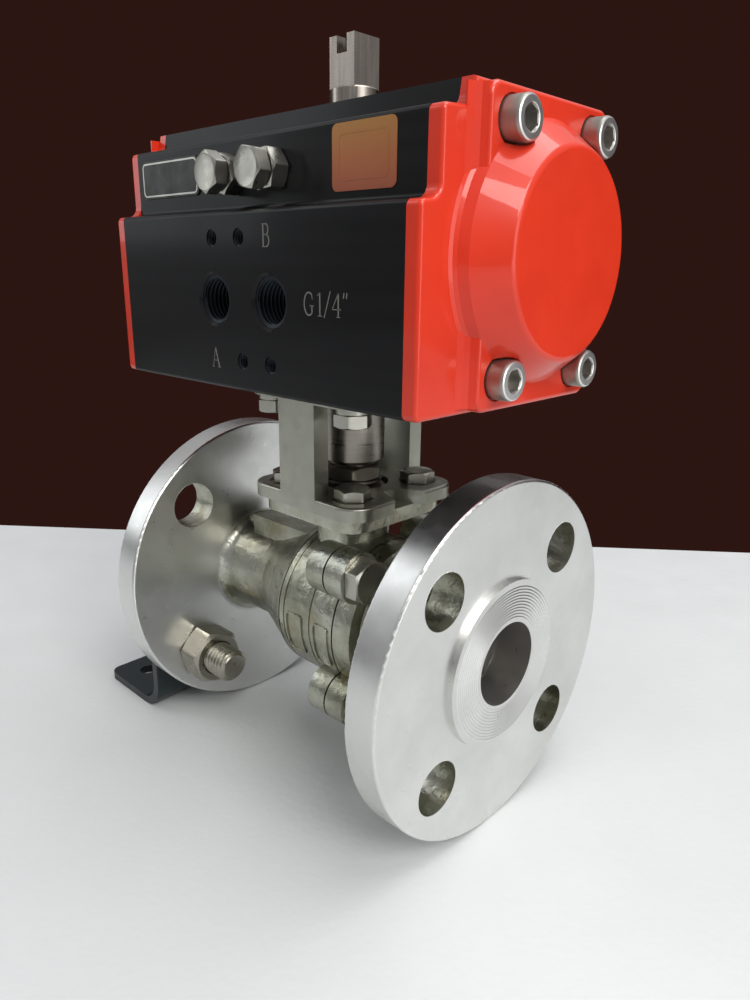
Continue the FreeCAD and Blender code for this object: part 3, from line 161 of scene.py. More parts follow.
def add_hex(bm, matrix, flats, height, bore=0.0, both_ends=False, dish=0.0):
    """Hexagon head or nut from z = 0 to its height, chamfered like a forged one.

    A bore goes right through it; without one the top is dished a little.
    """
    bevel_from = flats / 2 * 0.95
    if both_ends:
        rings = [circle(bevel_from, 0, HEX_SEGMENTS), hex_ring(flats, 0, bevel_from, False)]
    else:
        seat, seat_height = flats / 2 * 0.98, 0.15 * MM
        rings = [circle(seat, 0, HEX_SEGMENTS),
                 [(x, y, seat_height) for x, y, _ in hex_ring(flats, 0, flats, True)]]
    rings += [hex_ring(flats, height, bevel_from, True), circle(bevel_from, height, HEX_SEGMENTS)]
    if bore:
        countersink = 0.4 * MM
        mouth = bore + countersink
        rings = [circle(bore, countersink, HEX_SEGMENTS), circle(mouth, 0, HEX_SEGMENTS)] + rings
        rings += [circle(mouth, height, HEX_SEGMENTS), circle(bore, height - countersink, HEX_SEGMENTS)]
        made = stack(bm, matrix, rings, close_start=False, close_end=False)
        bridge(bm, made[-1], made[0])
    else:
        dish_rim, dish_floor = bevel_from * 0.94, bevel_from * 0.5
        rings += [circle(dish_rim, height - dish * 0.4, HEX_SEGMENTS),
                  circle(dish_floor, height - dish, HEX_SEGMENTS)]
        stack(bm, matrix, rings)


# One pitch of a V thread, as (share of the pitch, share of the depth): crest, flank, root.
THREAD_PROFILE = [(0.0, 0.0), (0.12, 0.0), (0.5, 1.0), (0.62, 1.0)]


def add_thread(bm, matrix, radius, length, pitch, depth, count, start=0.0, run_out=None):
    """A helical V thread along Z, cut inwards from its radius, as one open skin.

    It dies away over run_out pitches at its end, and quickly at its start. Without a
    run_out it stays whole, as in a hole.
    """
    run_in = 0.2 * pitch
    rows = []
    for step in range(int(length / pitch * count) + count + 1):
        angle = 2 * math.pi * step / count
        base = start + (step / count - 1) * pitch
        row = []
        for along, cut in THREAD_PROFILE:
            height = base + along * pitch
            reach = radius - depth * cut
            if run_out:
                fade = min(1.0, max(0.0, (start + length - height) / (run_out * pitch)))
                fade = min(fade, max(0.0, (height - start) / run_in + 0.001))
                reach = min(reach, radius - depth * (1 - fade))
            height = min(max(height, start), start + length)
            row.append(bm.verts.new(matrix @ Vector((
                reach * math.cos(angle), reach * math.sin(angle), height))))
        rows.append(row)
    for step in range(len(rows) - 1):
        first, second = rows[step], rows[step + 1]
        for k in range(len(THREAD_PROFILE) - 1):
            bm.faces.new((first[k], second[k], second[k + 1], first[k + 1]))
        if step + count < len(rows) - 1:
            above, above_next = rows[step + count], rows[step + count + 1]
            bm.faces.new((first[-1], second[-1], above_next[0], above[0]))


# ---------------------------------------------------------------- material helpers
# The colour sockets of a Mix node, which shares its names between data types.
MIX_FACTOR, MIX_FIRST, MIX_SECOND, MIX_RESULT = 0, 6, 7, 2


class Shader:
    """A procedural Principled material, built up node by node."""

    def __init__(self, name, **values):
        self.material = bpy.data.materials.new(name)
        self.material.use_nodes = True
        self.nodes = self.material.node_tree.nodes
        self.links = self.material.node_tree.links
        self.principled = self.nodes["Principled BSDF"]
        for socket, value in values.items():
            self.principled.inputs[socket.replace("_", " ")].default_value = value
        self.coordinates = self.nodes.new("ShaderNodeTexCoord").outputs["Object"]
        self.last_bump = None

    def node(self, kind, **settings):
        made = self.nodes.new(kind)
        for key, value in settings.items():
            setattr(made, key, value)
        return made

    def stretched(self, scale):
        mapping = self.node("ShaderNodeMapping")
        mapping.inputs["Scale"].default_value = scale
        self.links.new(self.coordinates, mapping.inputs["Vector"])
        return mapping.outputs["Vector"]

    def noise(self, scale, detail=4.0, roughness=0.6, stretch=(1, 1, 1)):
        """Cloudy noise, with its scale in features per metre."""
        made = self.node("ShaderNodeTexNoise")
        made.inputs["Scale"].default_value = scale
        made.inputs["Detail"].default_value = detail
        made.inputs["Roughness"].default_value = roughness
        self.links.new(self.stretched(stretch), made.inputs["Vector"])
        return made.outputs["Fac"]

    def cells(self, scale):
        made = self.node("ShaderNodeTexVoronoi")
        made.inputs["Scale"].default_value = scale
        self.links.new(self.coordinates, made.inputs["Vector"])
        return made.outputs["Distance"]

    def math(self, operation, first, second=0.5, third=0.0, clamp=False):
        made = self.node("ShaderNodeMath", operation=operation, use_clamp=clamp)
        for socket, value in zip(made.inputs, (first, second, third)):
            if isinstance(value, (int, float)):
                socket.default_value = value
            else:
                self.links.new(value, socket)
        return made.outputs["Value"]

    def ramp(self, factor, stops):
        """Colours or greys along a factor from 0 to 1."""
        made = self.node("ShaderNodeValToRGB")
        elements = made.color_ramp.elements
        while len(elements) < len(stops):
            elements.new(0.5)
        for element, (place, colour) in zip(elements, stops):
            element.position = place
            grey = isinstance(colour, (int, float))
            element.color = (colour, colour, colour, 1) if grey else (*colour, 1)
        self.links.new(factor, made.inputs["Fac"])
        return made.outputs["Color"]

    def spread(self, noise, low, high, start=0.3, end=0.7):
        """From low to high over the middle of a noise, where most of its values lie."""
        return self.ramp(noise, [(start, low), (end, high)])

    def mix(self, factor, first, second):
        made = self.node("ShaderNodeMix", data_type="RGBA")
        for number, value in ((MIX_FACTOR, factor), (MIX_FIRST, first), (MIX_SECOND, second)):
            socket = made.inputs[number]
            if isinstance(value, (int, float)):
                socket.default_value = value
            elif isinstance(value, tuple):
                socket.default_value = (*value, 1)
            else:
                self.links.new(value, socket)
        return made.outputs[MIX_RESULT]

    def colour(self, source):
        self.links.new(source, self.principled.inputs["Base Color"])

    def rough(self, source):
        self.links.new(source, self.principled.inputs["Roughness"])

    def bump(self, height, strength, distance):
        """Adds a bump, with its distance in metres, on top of any earlier one."""
        made = self.node("ShaderNodeBump")
        made.inputs["Strength"].default_value = strength
        made.inputs["Distance"].default_value = distance
        self.links.new(height, made.inputs["Height"])
        if self.last_bump:
            self.links.new(self.last_bump, made.inputs["Normal"])
        self.last_bump = made.outputs["Normal"]
        self.links.new(self.last_bump, self.principled.inputs["Normal"])

    def split(self):
        made = self.node("ShaderNodeSeparateXYZ")
        self.links.new(self.coordinates, made.inputs["Vector"])
        return made.outputs["X"], made.outputs["Y"], made.outputs["Z"]

    def pipe_radius(self):
        """Distance from the pipe axis."""
        _, across, up = self.split()
        return self.length(across, up)

    def length(self, first, second):
        square = self.math("ADD", self.math("MULTIPLY", first, first),
                           self.math("MULTIPLY", second, second))
        return self.math("SQRT", square)

    def bolt_hole_radius(self):
        """Distance from the axis of the nearest flange bolt hole."""
        _, across, up = self.split()
        pattern = MOUNTS["outlet_flange_bolts"]["dims"]["pcd_mm"] / 2 * MM
        offset = pattern * math.cos(math.radians(45))
        return self.length(self.math("SUBTRACT", self.math("ABSOLUTE", across), offset),
                           self.math("SUBTRACT", self.math("ABSOLUTE", up), offset))


def steel(name, tint, rough, grain=900, bump=0.12):
    """Stainless with blotchy colour, uneven polish between two roughnesses, and a fine grain."""
    shader = Shader(name, Metallic=1.0)
    darker = tuple(0.8 * c for c in tint)
    shader.colour(shader.spread(shader.noise(60, detail=5), darker, tint))
    shader.rough(shader.spread(shader.noise(220, detail=6), *rough, end=0.75))
    shader.bump(shader.noise(grain, detail=3), bump, 0.2 * MM)
    return shader.material


def cast_and_machined():
    """The valve castings: pickled cast skin, with turned flange faces and rims, and a bore painted paler, partly
    as painted light falling into it.
    """
    shader = Shader("valve_stainless", Metallic=1.0)
    # Just past the flanges' thickness, the bore's radius and the bolt holes' radius.
    flange, bore, bolt_hole = 12.3 * MM, 12.9 * MM, 8.05 * MM
    along, _, _ = shader.split()
    radius = shader.pipe_radius()
    near = shader.math("GREATER_THAN", along, -flange)
    far = shader.math("LESS_THAN", along, 2 * STEM_X + flange)
    turned = shader.math("MAXIMUM", near, far)
    in_bore = shader.math("LESS_THAN", radius, bore)
    in_bolt_hole = shader.math("LESS_THAN", shader.bolt_hole_radius(), bolt_hole)
    turned = shader.math("SUBTRACT", turned, in_bolt_hole, clamp=True)
    cloud = shader.noise(42, detail=5)
    stain = shader.noise(110, detail=4)
    dark_skin, skin, pale_skin = (0.22, 0.22, 0.16), (0.40, 0.40, 0.33), (0.60, 0.61, 0.56)
    # The bore's colour is partly its machined metal and partly painted light: it is made paler to stand for light
    # falling in from the outlet side.
    brown_stain, bore_tint = (0.30, 0.25, 0.12), (0.70, 0.68, 0.65)
    cast = shader.ramp(cloud, [(0.3, dark_skin), (0.5, skin), (0.72, pale_skin)])
    stained = shader.spread(stain, 0.0, 0.45, start=0.52, end=0.72)
    tinted = shader.mix(stained, cast, brown_stain)
    bright = shader.spread(cloud, (0.66, 0.66, 0.64), (0.78, 0.78, 0.77))
    shader.colour(shader.mix(in_bore, shader.mix(turned, tinted, bright), bore_tint))
    patches = shader.noise(230, detail=4)
    cast_rough = shader.spread(patches, 0.24, 0.42, end=0.75)
    turned_rough = shader.spread(patches, 0.27, 0.35, end=0.75)
    shader.rough(shader.mix(turned, cast_rough, turned_rough))
    pits = shader.math("MULTIPLY", shader.noise(260, detail=3, roughness=0.55),
                       shader.math("SUBTRACT", 1.0, turned))
    shader.bump(pits, 0.55, 0.8 * MM)
    return shader.material


def brushed(name, tint, rough, stretch, bump):
    """Metal with fine lines drawn out along one direction."""
    shader = Shader(name, Metallic=1.0)
    lines = shader.noise(700, detail=4, stretch=stretch)
    shader.colour(shader.spread(lines, tuple(0.75 * c for c in tint), tint))
    shader.rough(shader.spread(lines, *rough))
    shader.bump(lines, bump, 0.1 * MM)
    return shader.material


def black_anodised():
    """The extrusion: near black, with lines along its length and a thin clear sheen."""
    shader = Shader("black_anodised_aluminium", Specular_IOR_Level=0.10, Coat_Weight=0.15,
                    Coat_Roughness=0.12)
    lines = shader.noise(300, detail=3, roughness=0.5, stretch=(0.04, 1, 1))
    shader.colour(shader.spread(lines, (0.0045, 0.0045, 0.005), (0.0075, 0.0075, 0.0085)))
    shader.rough(shader.spread(shader.noise(35), 0.34, 0.44))
    shader.bump(lines, 0.04, 0.1 * MM)
    return shader.material


def red_powder():
    """Glossy powder coat with a slight orange peel."""
    shader = Shader("red_powder_coat", Specular_IOR_Level=0.25, Coat_Weight=0.5, Coat_Roughness=0.04)
    cloud = shader.noise(30, detail=3)
    shader.colour(shader.spread(cloud, (0.56, 0.026, 0.008), (0.66, 0.036, 0.011)))
    shader.rough(shader.spread(shader.noise(90, detail=3), 0.28, 0.38))
    shader.bump(shader.noise(150, detail=1), 0.06, 0.7 * MM)
    return shader.material


def matte(name, tint, rough, grain=900, metallic=0.0):
    """A polymer, rubber, paint or enamel with a slight mottle and grain."""
    shader = Shader(name, Metallic=metallic)
    shader.colour(shader.spread(shader.noise(80), tuple(0.82 * c for c in tint), tint))
    shader.rough(shader.spread(shader.noise(200), rough - 0.06, rough + 0.06))
    shader.bump(shader.noise(grain, detail=3), 0.1, 0.1 * MM)
    return shader.material


def copper_foil():
    """The label's foil, redder at its foot and yellower at its top."""
    shader = Shader("copper_foil", Metallic=0.35, Coat_Weight=0.12, Coat_Roughness=0.25)
    _, _, up = shader.split()
    low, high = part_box("label")[0][2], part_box("label")[1][2]
    height = shader.math("DIVIDE", shader.math("SUBTRACT", up, low), high - low, clamp=True)
    shader.colour(shader.ramp(height, [(0.0, (0.34, 0.085, 0.040)), (0.45, (0.36, 0.110, 0.036)),
                                       (1.0, (0.36, 0.165, 0.040))]))
    shader.rough(shader.spread(shader.noise(500), 0.36, 0.48))
    shader.bump(shader.noise(700, detail=2), 0.08, 0.1 * MM)
    return shader.material


def table_material():
    """Pale, faintly grained table covering."""
    shader = Shader("pale_floor", Metallic=0.0)
    shader.colour(shader.spread(shader.noise(6, detail=6), (0.60, 0.62, 0.62), (0.65, 0.67, 0.67)))
    shader.rough(shader.spread(shader.noise(40), 0.42, 0.6))
    shader.bump(shader.cells(420), 0.16, 0.4 * MM)
    return shader.material


CAST = cast_and_machined()
YOKE = steel("yoke_stainless", (0.42, 0.42, 0.36), (0.28, 0.46), grain=420, bump=0.35)
BALL = steel("ball_polished", (0.80, 0.80, 0.79), (0.06, 0.12), grain=400, bump=0.02)
PTFE = matte("white_ptfe", (0.86, 0.86, 0.83), 0.45)
TURNED = brushed("turned_stainless", (0.38, 0.35, 0.31), (0.24, 0.40), stretch=(0.05, 0.05, 2.2),
                 bump=0.3)
SPRING = steel("spring_steel", (0.34, 0.33, 0.31), (0.3, 0.5))
FASTENER = steel("fastener_stainless", (0.46, 0.45, 0.40), (0.24, 0.42), grain=500, bump=0.18)
WASHED = steel("washed_hex_stainless", (0.40, 0.38, 0.32), (0.24, 0.42), grain=700, bump=0.2)
SOCKET = steel("socket_screw_steel", (0.42, 0.40, 0.36), (0.38, 0.52), grain=600, bump=0.08)
SOCKET_FACE = steel("socket_face_steel", (0.80, 0.80, 0.78), (0.28, 0.40), grain=600, bump=0.05)
SOCKET_RECESS = steel("socket_recess_steel", (0.40, 0.38, 0.35), (0.40, 0.55), grain=600, bump=0.08)
BLACK = black_anodised()
RED = red_powder()
RUBBER = matte("black_rubber", (0.02, 0.02, 0.02), 0.6)
PINION = brushed("nickel_pinion", (0.47, 0.42, 0.37), (0.20, 0.36), stretch=(1, 1, 0.06), bump=0.06)
CAM = steel("cam_steel", (0.5, 0.5, 0.5), (0.3, 0.45))
POLYMER = matte("bush_polymer", (0.80, 0.78, 0.70), 0.45)
PISTON = steel("piston_cast_aluminium", (0.70, 0.71, 0.72), (0.35, 0.5))
BADGE = matte("badge_enamel", (0.006, 0.005, 0.004), 0.4)
BADGE_LINE = matte("badge_pale_line", (0.60, 0.58, 0.54), 0.35, metallic=0.6)
ENGRAVED = matte("engraved_pale", (0.17, 0.165, 0.15), 0.5, metallic=0.2)
FOIL = copper_foil()
FOOT = matte("foot_blue_black_paint", (0.004, 0.012, 0.015), 0.38, grain=400)
# Near black: painted shade inside the air ports and screw holes, much darker than cut aluminium.
CUT_THREAD = steel("port_thread_painted_shade", (0.030, 0.034, 0.040), (0.34, 0.5), grain=500, bump=0.05)

NODE_MATERIALS = {
    "valve_body": CAST, "body_cap": CAST, "yoke": YOKE, "ball": BALL,
    "seat_ring_inlet": PTFE, "seat_ring_outlet": PTFE, "body_gasket": PTFE,
    "stem_thrust_washer": PTFE, "stem_packing": PTFE, "stem": TURNED, "gland_ring": TURNED,
    "coupling": TURNED, "spring_washers": SPRING, "pinion_circlip": SPRING,
    "stem_nut": WASHED, "stop_nut_left": FASTENER, "stop_nut_right": FASTENER,
    "foot_nut": WASHED, "body_bolts": FASTENER, "yoke_base_bolts": FASTENER,
    "yoke_top_bolts": FASTENER, "stop_bolt_left": FASTENER, "stop_bolt_right": FASTENER,
    "foot_bolt": WASHED, "cap_screws_left": SOCKET, "cap_screws_right": SOCKET,
    "actuator_body": BLACK, "end_cap_left": RED, "end_cap_right": RED,
    "end_cap_seal_left": RUBBER, "end_cap_seal_right": RUBBER, "pinion_seals": RUBBER,
    "piston_seal_left": RUBBER, "piston_seal_right": RUBBER, "pinion": PINION,
    "stop_cam": CAM, "pinion_bush_low": POLYMER, "pinion_bush_top": POLYMER,
    "pinion_thrust_washer": POLYMER, "piston_guide_left": POLYMER,
    "piston_guide_right": POLYMER, "piston_left": PISTON, "piston_right": PISTON,
    "badge": BADGE, "label": FOIL, "foot_bracket": FOOT,
}
for name, material in NODE_MATERIALS.items():
    mesh = NODES[name].data
    mesh.materials.clear()
    mesh.materials.append(material)


# ---------------------------------------------------------------- fasteners
def body_bolts():
    """M8 hexagon bolts between cap and body, heads towards the outlet."""
    low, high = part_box("body_bolts")
    flats, head, offset = 13 * MM, 5.3 * MM, 21 * MM
    shank, tip, tip_length = 3.95 * MM, 3.4 * MM, 0.6 * MM
    bm = bmesh.new()
    for sy in (1, -1):
        for sz in (1, -1):
            at = Vector((high[0] - head, sy * offset, sz * offset))
            add_hex(bm, axis_frame(at, (1, 0, 0)), flats, head, dish=0.25 * MM)
            end = axis_frame(Vector((low[0], sy * offset, sz * offset)), (1, 0, 0))
            lathe(bm, end, [(tip, 0), (shank, tip_length),
                            (shank, high[0] - low[0] - head + SINK)], 40)
    piece = new_piece("body_bolts_detailed", bm, FASTENER, "housing", HEXAGON_EDGE)
    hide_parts("body_bolts")


def yoke_bolts(node, offset, upwards, turn):
    """M6 hexagon bolts of the yoke; the upper ones have a washer and point up."""
    low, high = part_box(node)
    flats, head, dish = 10 * MM, 4 * MM, 0.2 * MM
    shank, tip, tip_length = 2.95 * MM, 2.6 * MM, 0.4 * MM
    washer, washer_height = 5.0 * MM, 1.8 * MM
    washer_flat, washer_edge = 4.9 * MM, 0.15 * MM
    uneven = 23  # degrees from one head to the next, as hand-tightened bolts stand
    bm = bmesh.new()
    for k, (sx, sy) in enumerate([(1, 1), (-1, 1), (-1, -1), (1, -1)]):
        place = STEM + Vector((sx * offset, sy * offset, 0))
        spin = turn + uneven * k
        if upwards:
            place.z = low[2] + head
            add_hex(bm, axis_frame(place, (0, 0, -1), spin), flats, head, dish=dish)
            lathe(bm, axis_frame(place, (0, 0, 1)),
                  [(washer_flat, 0), (washer, washer_edge), (washer, washer_height - washer_edge),
                   (washer_flat, washer_height), (shank, washer_height),
                   (shank, high[2] - place.z)], 48)
        else:
            place.z = high[2] - head
            add_hex(bm, axis_frame(place, (0, 0, 1), spin), flats, head, dish=dish)
            lathe(bm, axis_frame(Vector((place.x, place.y, low[2])), (0, 0, 1)),
                  [(tip, 0), (shank, tip_length), (shank, place.z - low[2] + SINK)], 32)
    piece = new_piece(node + "_detailed", bm, FASTENER, "housing", HEXAGON_EDGE)
    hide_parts(node)


def stop_screws():
    """Stroke stops: M6 hexagon bolts, each with a lock nut against the side face."""
    flats, head = 9.4 * MM, 4 * MM
    thread, core, nut_bore, segments = 2.98 * MM, 2.5 * MM, 3.06 * MM, 28
    for side, head_turn, nut_turn in (("left", -3, 11), ("right", 19, 37)):
        node = f"stop_bolt_{side}"
        low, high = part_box(node)
        centre = middle(node)
        bm = bmesh.new()
        under = Vector((centre.x, low[1] + head, centre.z))
        add_hex(bm, axis_frame(under, (0, -1, 0), head_turn), flats, head, dish=0.12 * MM)
        along = axis_frame(under - Vector((0, SINK, 0)), (0, 1, 0))
        length = high[1] - under.y
        add_thread(bm, along, thread, length, pitch=1.0 * MM, depth=0.5 * MM, count=segments,
                   run_out=1.2)
        lathe(bm, along, [(core, 0), (core, length)], segments)
        bolt = new_piece(f"{node}_detailed", bm, FASTENER, f"stop_screw_{side}",
                         HEXAGON_EDGE)
        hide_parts(node)
        nut_node = f"stop_nut_{side}"
        nut_low, nut_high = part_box(nut_node)
        bm = bmesh.new()
        at = Vector((centre.x, nut_high[1], centre.z))
        add_hex(bm, axis_frame(at, (0, -1, 0), nut_turn), flats, nut_high[1] - nut_low[1],
                bore=nut_bore, both_ends=True)
        nut = new_piece(f"{nut_node}_detailed", bm, FASTENER, "housing", HEXAGON_EDGE)
        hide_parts(nut_node)


def stem_nut():
    """The thin nut that holds the spring washers down on the stem."""
    low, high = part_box("stem_nut")
    bm = bmesh.new()
    at = STEM + Vector((0, 0, low[2]))
    add_hex(bm, axis_frame(at, (0, 0, 1), turn=44), flats=17 * MM, height=high[2] - low[2],
            bore=6.02 * MM, both_ends=True)
    piece = new_piece("stem_nut_detailed", bm, WASHED, "drive_train", HEXAGON_EDGE)
    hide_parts("stem_nut")


def foot_fastener():
    """M12 bolt and nut that clamp the foot to the far flange; its thread is in full view."""
    flats, head = 18 * MM, 7.5 * MM
    shank, plain_length, core, core_start = 5.9 * MM, 12 * MM, 4.85 * MM, 13 * MM
    thread_start, thread_short, segments = 12.6 * MM, 0.4 * MM, 56
    low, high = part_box("foot_bolt")
    centre = middle("foot_bolt")
    bm = bmesh.new()
    under = Vector((low[0] + head, centre.y, centre.z))
    add_hex(bm, axis_frame(under, (-1, 0, 0), turn=12), flats, head, dish=0.3 * MM)
    along = axis_frame(under - Vector((SINK, 0, 0)), (1, 0, 0))
    length = high[0] - under.x + SINK
    lathe(bm, along, [(shank, 0), (shank, plain_length), (core, core_start),
                      (core, length - 0.6 * MM), (core - 0.5 * MM, length - 0.2 * MM),
                      (core - 1.6 * MM, length)], segments)
    add_thread(bm, along, shank, length - thread_start - thread_short, pitch=1.75 * MM,
               depth=1.05 * MM, count=segments, start=thread_start, run_out=0.35)
    bolt = new_piece("foot_bolt_detailed", bm, WASHED, "housing", HEXAGON_EDGE)
    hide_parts("foot_bolt")

    low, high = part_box("foot_nut")
    bm = bmesh.new()
    at = Vector((low[0], centre.y, centre.z))
    add_hex(bm, axis_frame(at, (1, 0, 0), turn=15), flats, high[0] - low[0], bore=6.0 * MM,
            both_ends=True)
    nut = new_piece("foot_nut_detailed", bm, WASHED, "housing", HEXAGON_EDGE)
    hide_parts("foot_nut")


def socket_screws(side, sign):
    """Socket-head cap screws with knurled sides, a bevelled bright face and a hex socket."""
    node = f"cap_screws_{side}"
    low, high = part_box(node)
    centre_z = (low[2] + high[2]) / 2
    head_radius, head = 4.9 * MM, 6 * MM
    across = (high[1] - low[1]) / 2 - head_radius
    rise = (high[2] - low[2]) / 2 - head_radius
    outer = high[0] if sign > 0 else low[0]
    inner = low[0] if sign > 0 else high[0]
    shank, tip, tip_length = 2.95 * MM, 2.5 * MM, 0.5 * MM
    flats, socket_top, socket_floor = 5 * MM, head - 0.35 * MM, head - 3.2 * MM
    count, knurl, heel = 96, 0.06 * MM, 0.3 * MM
    # Rings, as (radius, height), that two of the three pieces share.
    shoulder = (head_radius - 0.25 * MM, head - 0.25 * MM)
    mouth = (2.9 * MM, head - 0.1 * MM)
    knurled = [
        ((head_radius - knurl * (k % 2)) * math.cos(2 * math.pi * k / count),
         (head_radius - knurl * (k % 2)) * math.sin(2 * math.pi * k / count))
        for k in range(count)
    ]
    sides, faces, recesses = bmesh.new(), bmesh.new(), bmesh.new()
    for sy in (1, -1):
        for sz in (1, -1):
            at = Vector((outer - sign * head, sy * across, centre_z + sz * rise))
            matrix = axis_frame(at, (sign, 0, 0), turn=9 * sy + 14 * sz)
            rings = [circle(head_radius - heel, 0, count)]
            rings += [[(x, y, z) for x, y in knurled] for z in (heel, head - 1.1 * MM)]
            rings += [circle(head_radius - 0.02 * MM, head - 0.75 * MM, count),
                      circle(*shoulder, count)]
            stack(sides, matrix, rings, close_end=False)
            rings = [circle(*shoulder, count), circle(head_radius - 0.6 * MM, head - 0.02 * MM, count),
                     circle(3.05 * MM, head, count), circle(*mouth, count)]
            stack(faces, matrix, rings, close_start=False, close_end=False)
            socket = [[(x, y, z) for x, y, _ in hex_ring(flats, 0, 1, True)]
                      for z in (socket_top, socket_floor)]
            stack(recesses, matrix, [circle(*mouth, count)] + socket, close_start=False)
            length = abs(at.x - inner)
            lathe(sides, axis_frame(at, (-sign, 0, 0)),
                  [(shank, -SINK), (shank, length - tip_length), (tip, length)], 32)
    barrel = new_piece(f"{node}_barrels", sides, SOCKET, "housing", SOCKET_EDGE)
    face = new_piece(f"{node}_faces", faces, SOCKET_FACE, "housing", SOCKET_EDGE)
    recess = new_piece(f"{node}_recesses", recesses, SOCKET_RECESS, "housing",
                       SOCKET_EDGE)
    for piece in (barrel, face, recess):
        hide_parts(node)


# ---------------------------------------------------------------- surface details
def face_serrations(name, mount, sign):
    """Concentric gasket grooves of a raised face, made as low ridges on it."""
    at = Vector(MOUNTS[mount]["pos_m"])
    at.y = 0
    inner, outer, pitch = 13.6 * MM, 24.4 * MM, 0.9 * MM
    buried, valley, crest = -0.02 * MM, 0.005 * MM, 0.14 * MM
    count = int((outer - inner) / pitch)
    profile = [(inner - 0.3 * MM, buried)]
    for k in range(count):
        start = inner + k * pitch
        profile += [(start, valley), (start + 0.35 * pitch, crest), (start + 0.65 * pitch, crest)]
    profile += [(inner + count * pitch, valley), (outer + 0.2 * MM, buried)]
    bm = bmesh.new()
    lathe(bm, axis_frame(at, (sign, 0, 0)), profile, 128, closed=True)
    new_piece(name, bm, CAST, "housing", GROOVE_EDGE)


def port_threads():
    """Internal threads of the two air ports and of the four screw holes, coloured near black as painted shade
    inside the holes.
    """
    port_inset, screw_inset = 0.9 * MM, 0.3 * MM
    bm = bmesh.new()
    face_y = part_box("actuator_body")[0][1]
    for side in ("left", "right"):
        at = Vector(MOUNTS[f"air_port_{side}"]["pos_m"])
        at.y = face_y + port_inset
        add_thread(bm, axis_frame(at, (0, 1, 0)), 6.55 * MM, length=9.5 * MM, pitch=1.34 * MM,
                   depth=0.85 * MM, count=48)
    for row in ("upper", "lower"):
        mount = MOUNTS[f"solenoid_screws_{row}"]
        half = mount["dims"]["spacing_x_mm"] / 2 * MM
        for sign in (-1, 1):
            at = Vector(mount["pos_m"]) + Vector((sign * half, screw_inset, 0))
            add_thread(bm, axis_frame(at, (0, 1, 0)), 2.28 * MM, length=6 * MM, pitch=0.8 * MM,
                       depth=0.4 * MM, count=28)
    new_piece("port_threads", bm, CUT_THREAD, "housing", GROOVE_EDGE)


def ribbon(bm, points, width, height):
    """A flat stroke along points in the plane of the port face, slightly proud."""
    count = len(points)
    rows = []
    for k, point in enumerate(points):
        before, after = points[max(k - 1, 0)], points[min(k + 1, count - 1)]
        run = Vector((after[0] - before[0], after[1] - before[1])).normalized()
        side = Vector((-run.y, run.x)) * width / 2
        rows.append([
            bm.verts.new((point[0] + sign * side.x, depth, point[1] + sign * side.y))
            for sign, depth in ((1, 0.0), (1, -height), (-1, -height), (-1, 0.0))
        ])
    for first, second in zip(rows, rows[1:]):
        bridge(bm, first, second)
    bm.faces.new(list(reversed(rows[0])))
    bm.faces.new(rows[-1])


def arc(cx, cz, rx, rz, start, end, count=14):
    angles = [math.radians(start + (end - start) * k / count) for k in range(count + 1)]
    return [(cx + rx * math.cos(a), cz + rz * math.sin(a)) for a in angles]


# Strokes of each port mark, on a box one unit high: (points, relative weight).
GLYPHS = {
    "A": [([(0.0, 0.0), (0.27, 1.0)], 0.6), ([(0.27, 1.0), (0.56, 0.0)], 1.3),
          ([(0.09, 0.34), (0.44, 0.34)], 0.5), ([(-0.07, 0.0), (0.09, 0.0)], 0.6),
          ([(0.44, 0.0), (0.66, 0.0)], 0.6)],
    "B": [([(0.1, 0.0), (0.1, 1.0)], 1.3), ([(0.0, 0.0), (0.3, 0.0)], 0.6),
          ([(0.0, 1.0), (0.3, 1.0)], 0.6), ([(0.1, 0.53), (0.3, 0.53)], 0.6),
          (arc(0.3, 0.765, 0.17, 0.235, 90, -90), 1.0), (arc(0.3, 0.265, 0.22, 0.265, 90, -90), 1.0)],
    "G": [(arc(0.32, 0.5, 0.28, 0.5, 50, 310, 22), 1.1), ([(0.5, 0.12), (0.5, 0.42)], 1.2),
          ([(0.36, 0.42), (0.6, 0.42)], 0.6), ([(0.5, 0.88), (0.52, 0.7)], 0.6)],
    "1": [([(0.18, 0.0), (0.18, 1.0)], 1.2), ([(0.04, 0.86), (0.18, 1.0)], 0.6),
          ([(0.06, 0.0), (0.3, 0.0)], 0.6)],
    "/": [([(0.0, -0.08), (0.36, 1.08)], 0.7)],
    "4": [([(0.34, 0.0), (0.34, 1.0)], 1.2), ([(0.34, 1.0), (0.0, 0.32)], 0.6),
          ([(0.0, 0.32), (0.48, 0.32)], 0.6), ([(0.24, 0.0), (0.44, 0.0)], 0.6)],
    '"': [([(0.04, 1.04), (0.0, 0.8)], 0.9), ([(0.2, 1.04), (0.16, 0.8)], 0.9)],
}
# From the left of one mark to the left of the next, in heights.
ADVANCE = {"A": 0.75, "B": 0.7, "G": 0.78, "1": 0.42, "/": 0.46, "4": 0.62, '"': 0.4}


def engraving(name, text, left, low, spread=1.0):
    """Generic port marks as thin pale strokes on the port face; spread widens the spacing."""
    height, stroke, proud, sunk = 5.4 * MM, 0.34 * MM, 0.05 * MM, 0.01 * MM
    bm = bmesh.new()
    cursor = left
    for mark in text:
        for points, weight in GLYPHS[mark]:
            placed = [(cursor + x * height * spread, low + z * height) for x, z in points]
            ribbon(bm, placed, stroke * weight, proud)
        cursor += ADVANCE[mark] * height * spread
    bmesh.ops.translate(bm, verts=bm.verts, vec=(0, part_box("actuator_body")[0][1] + sunk, 0))
    new_piece(name, bm, ENGRAVED, "housing")


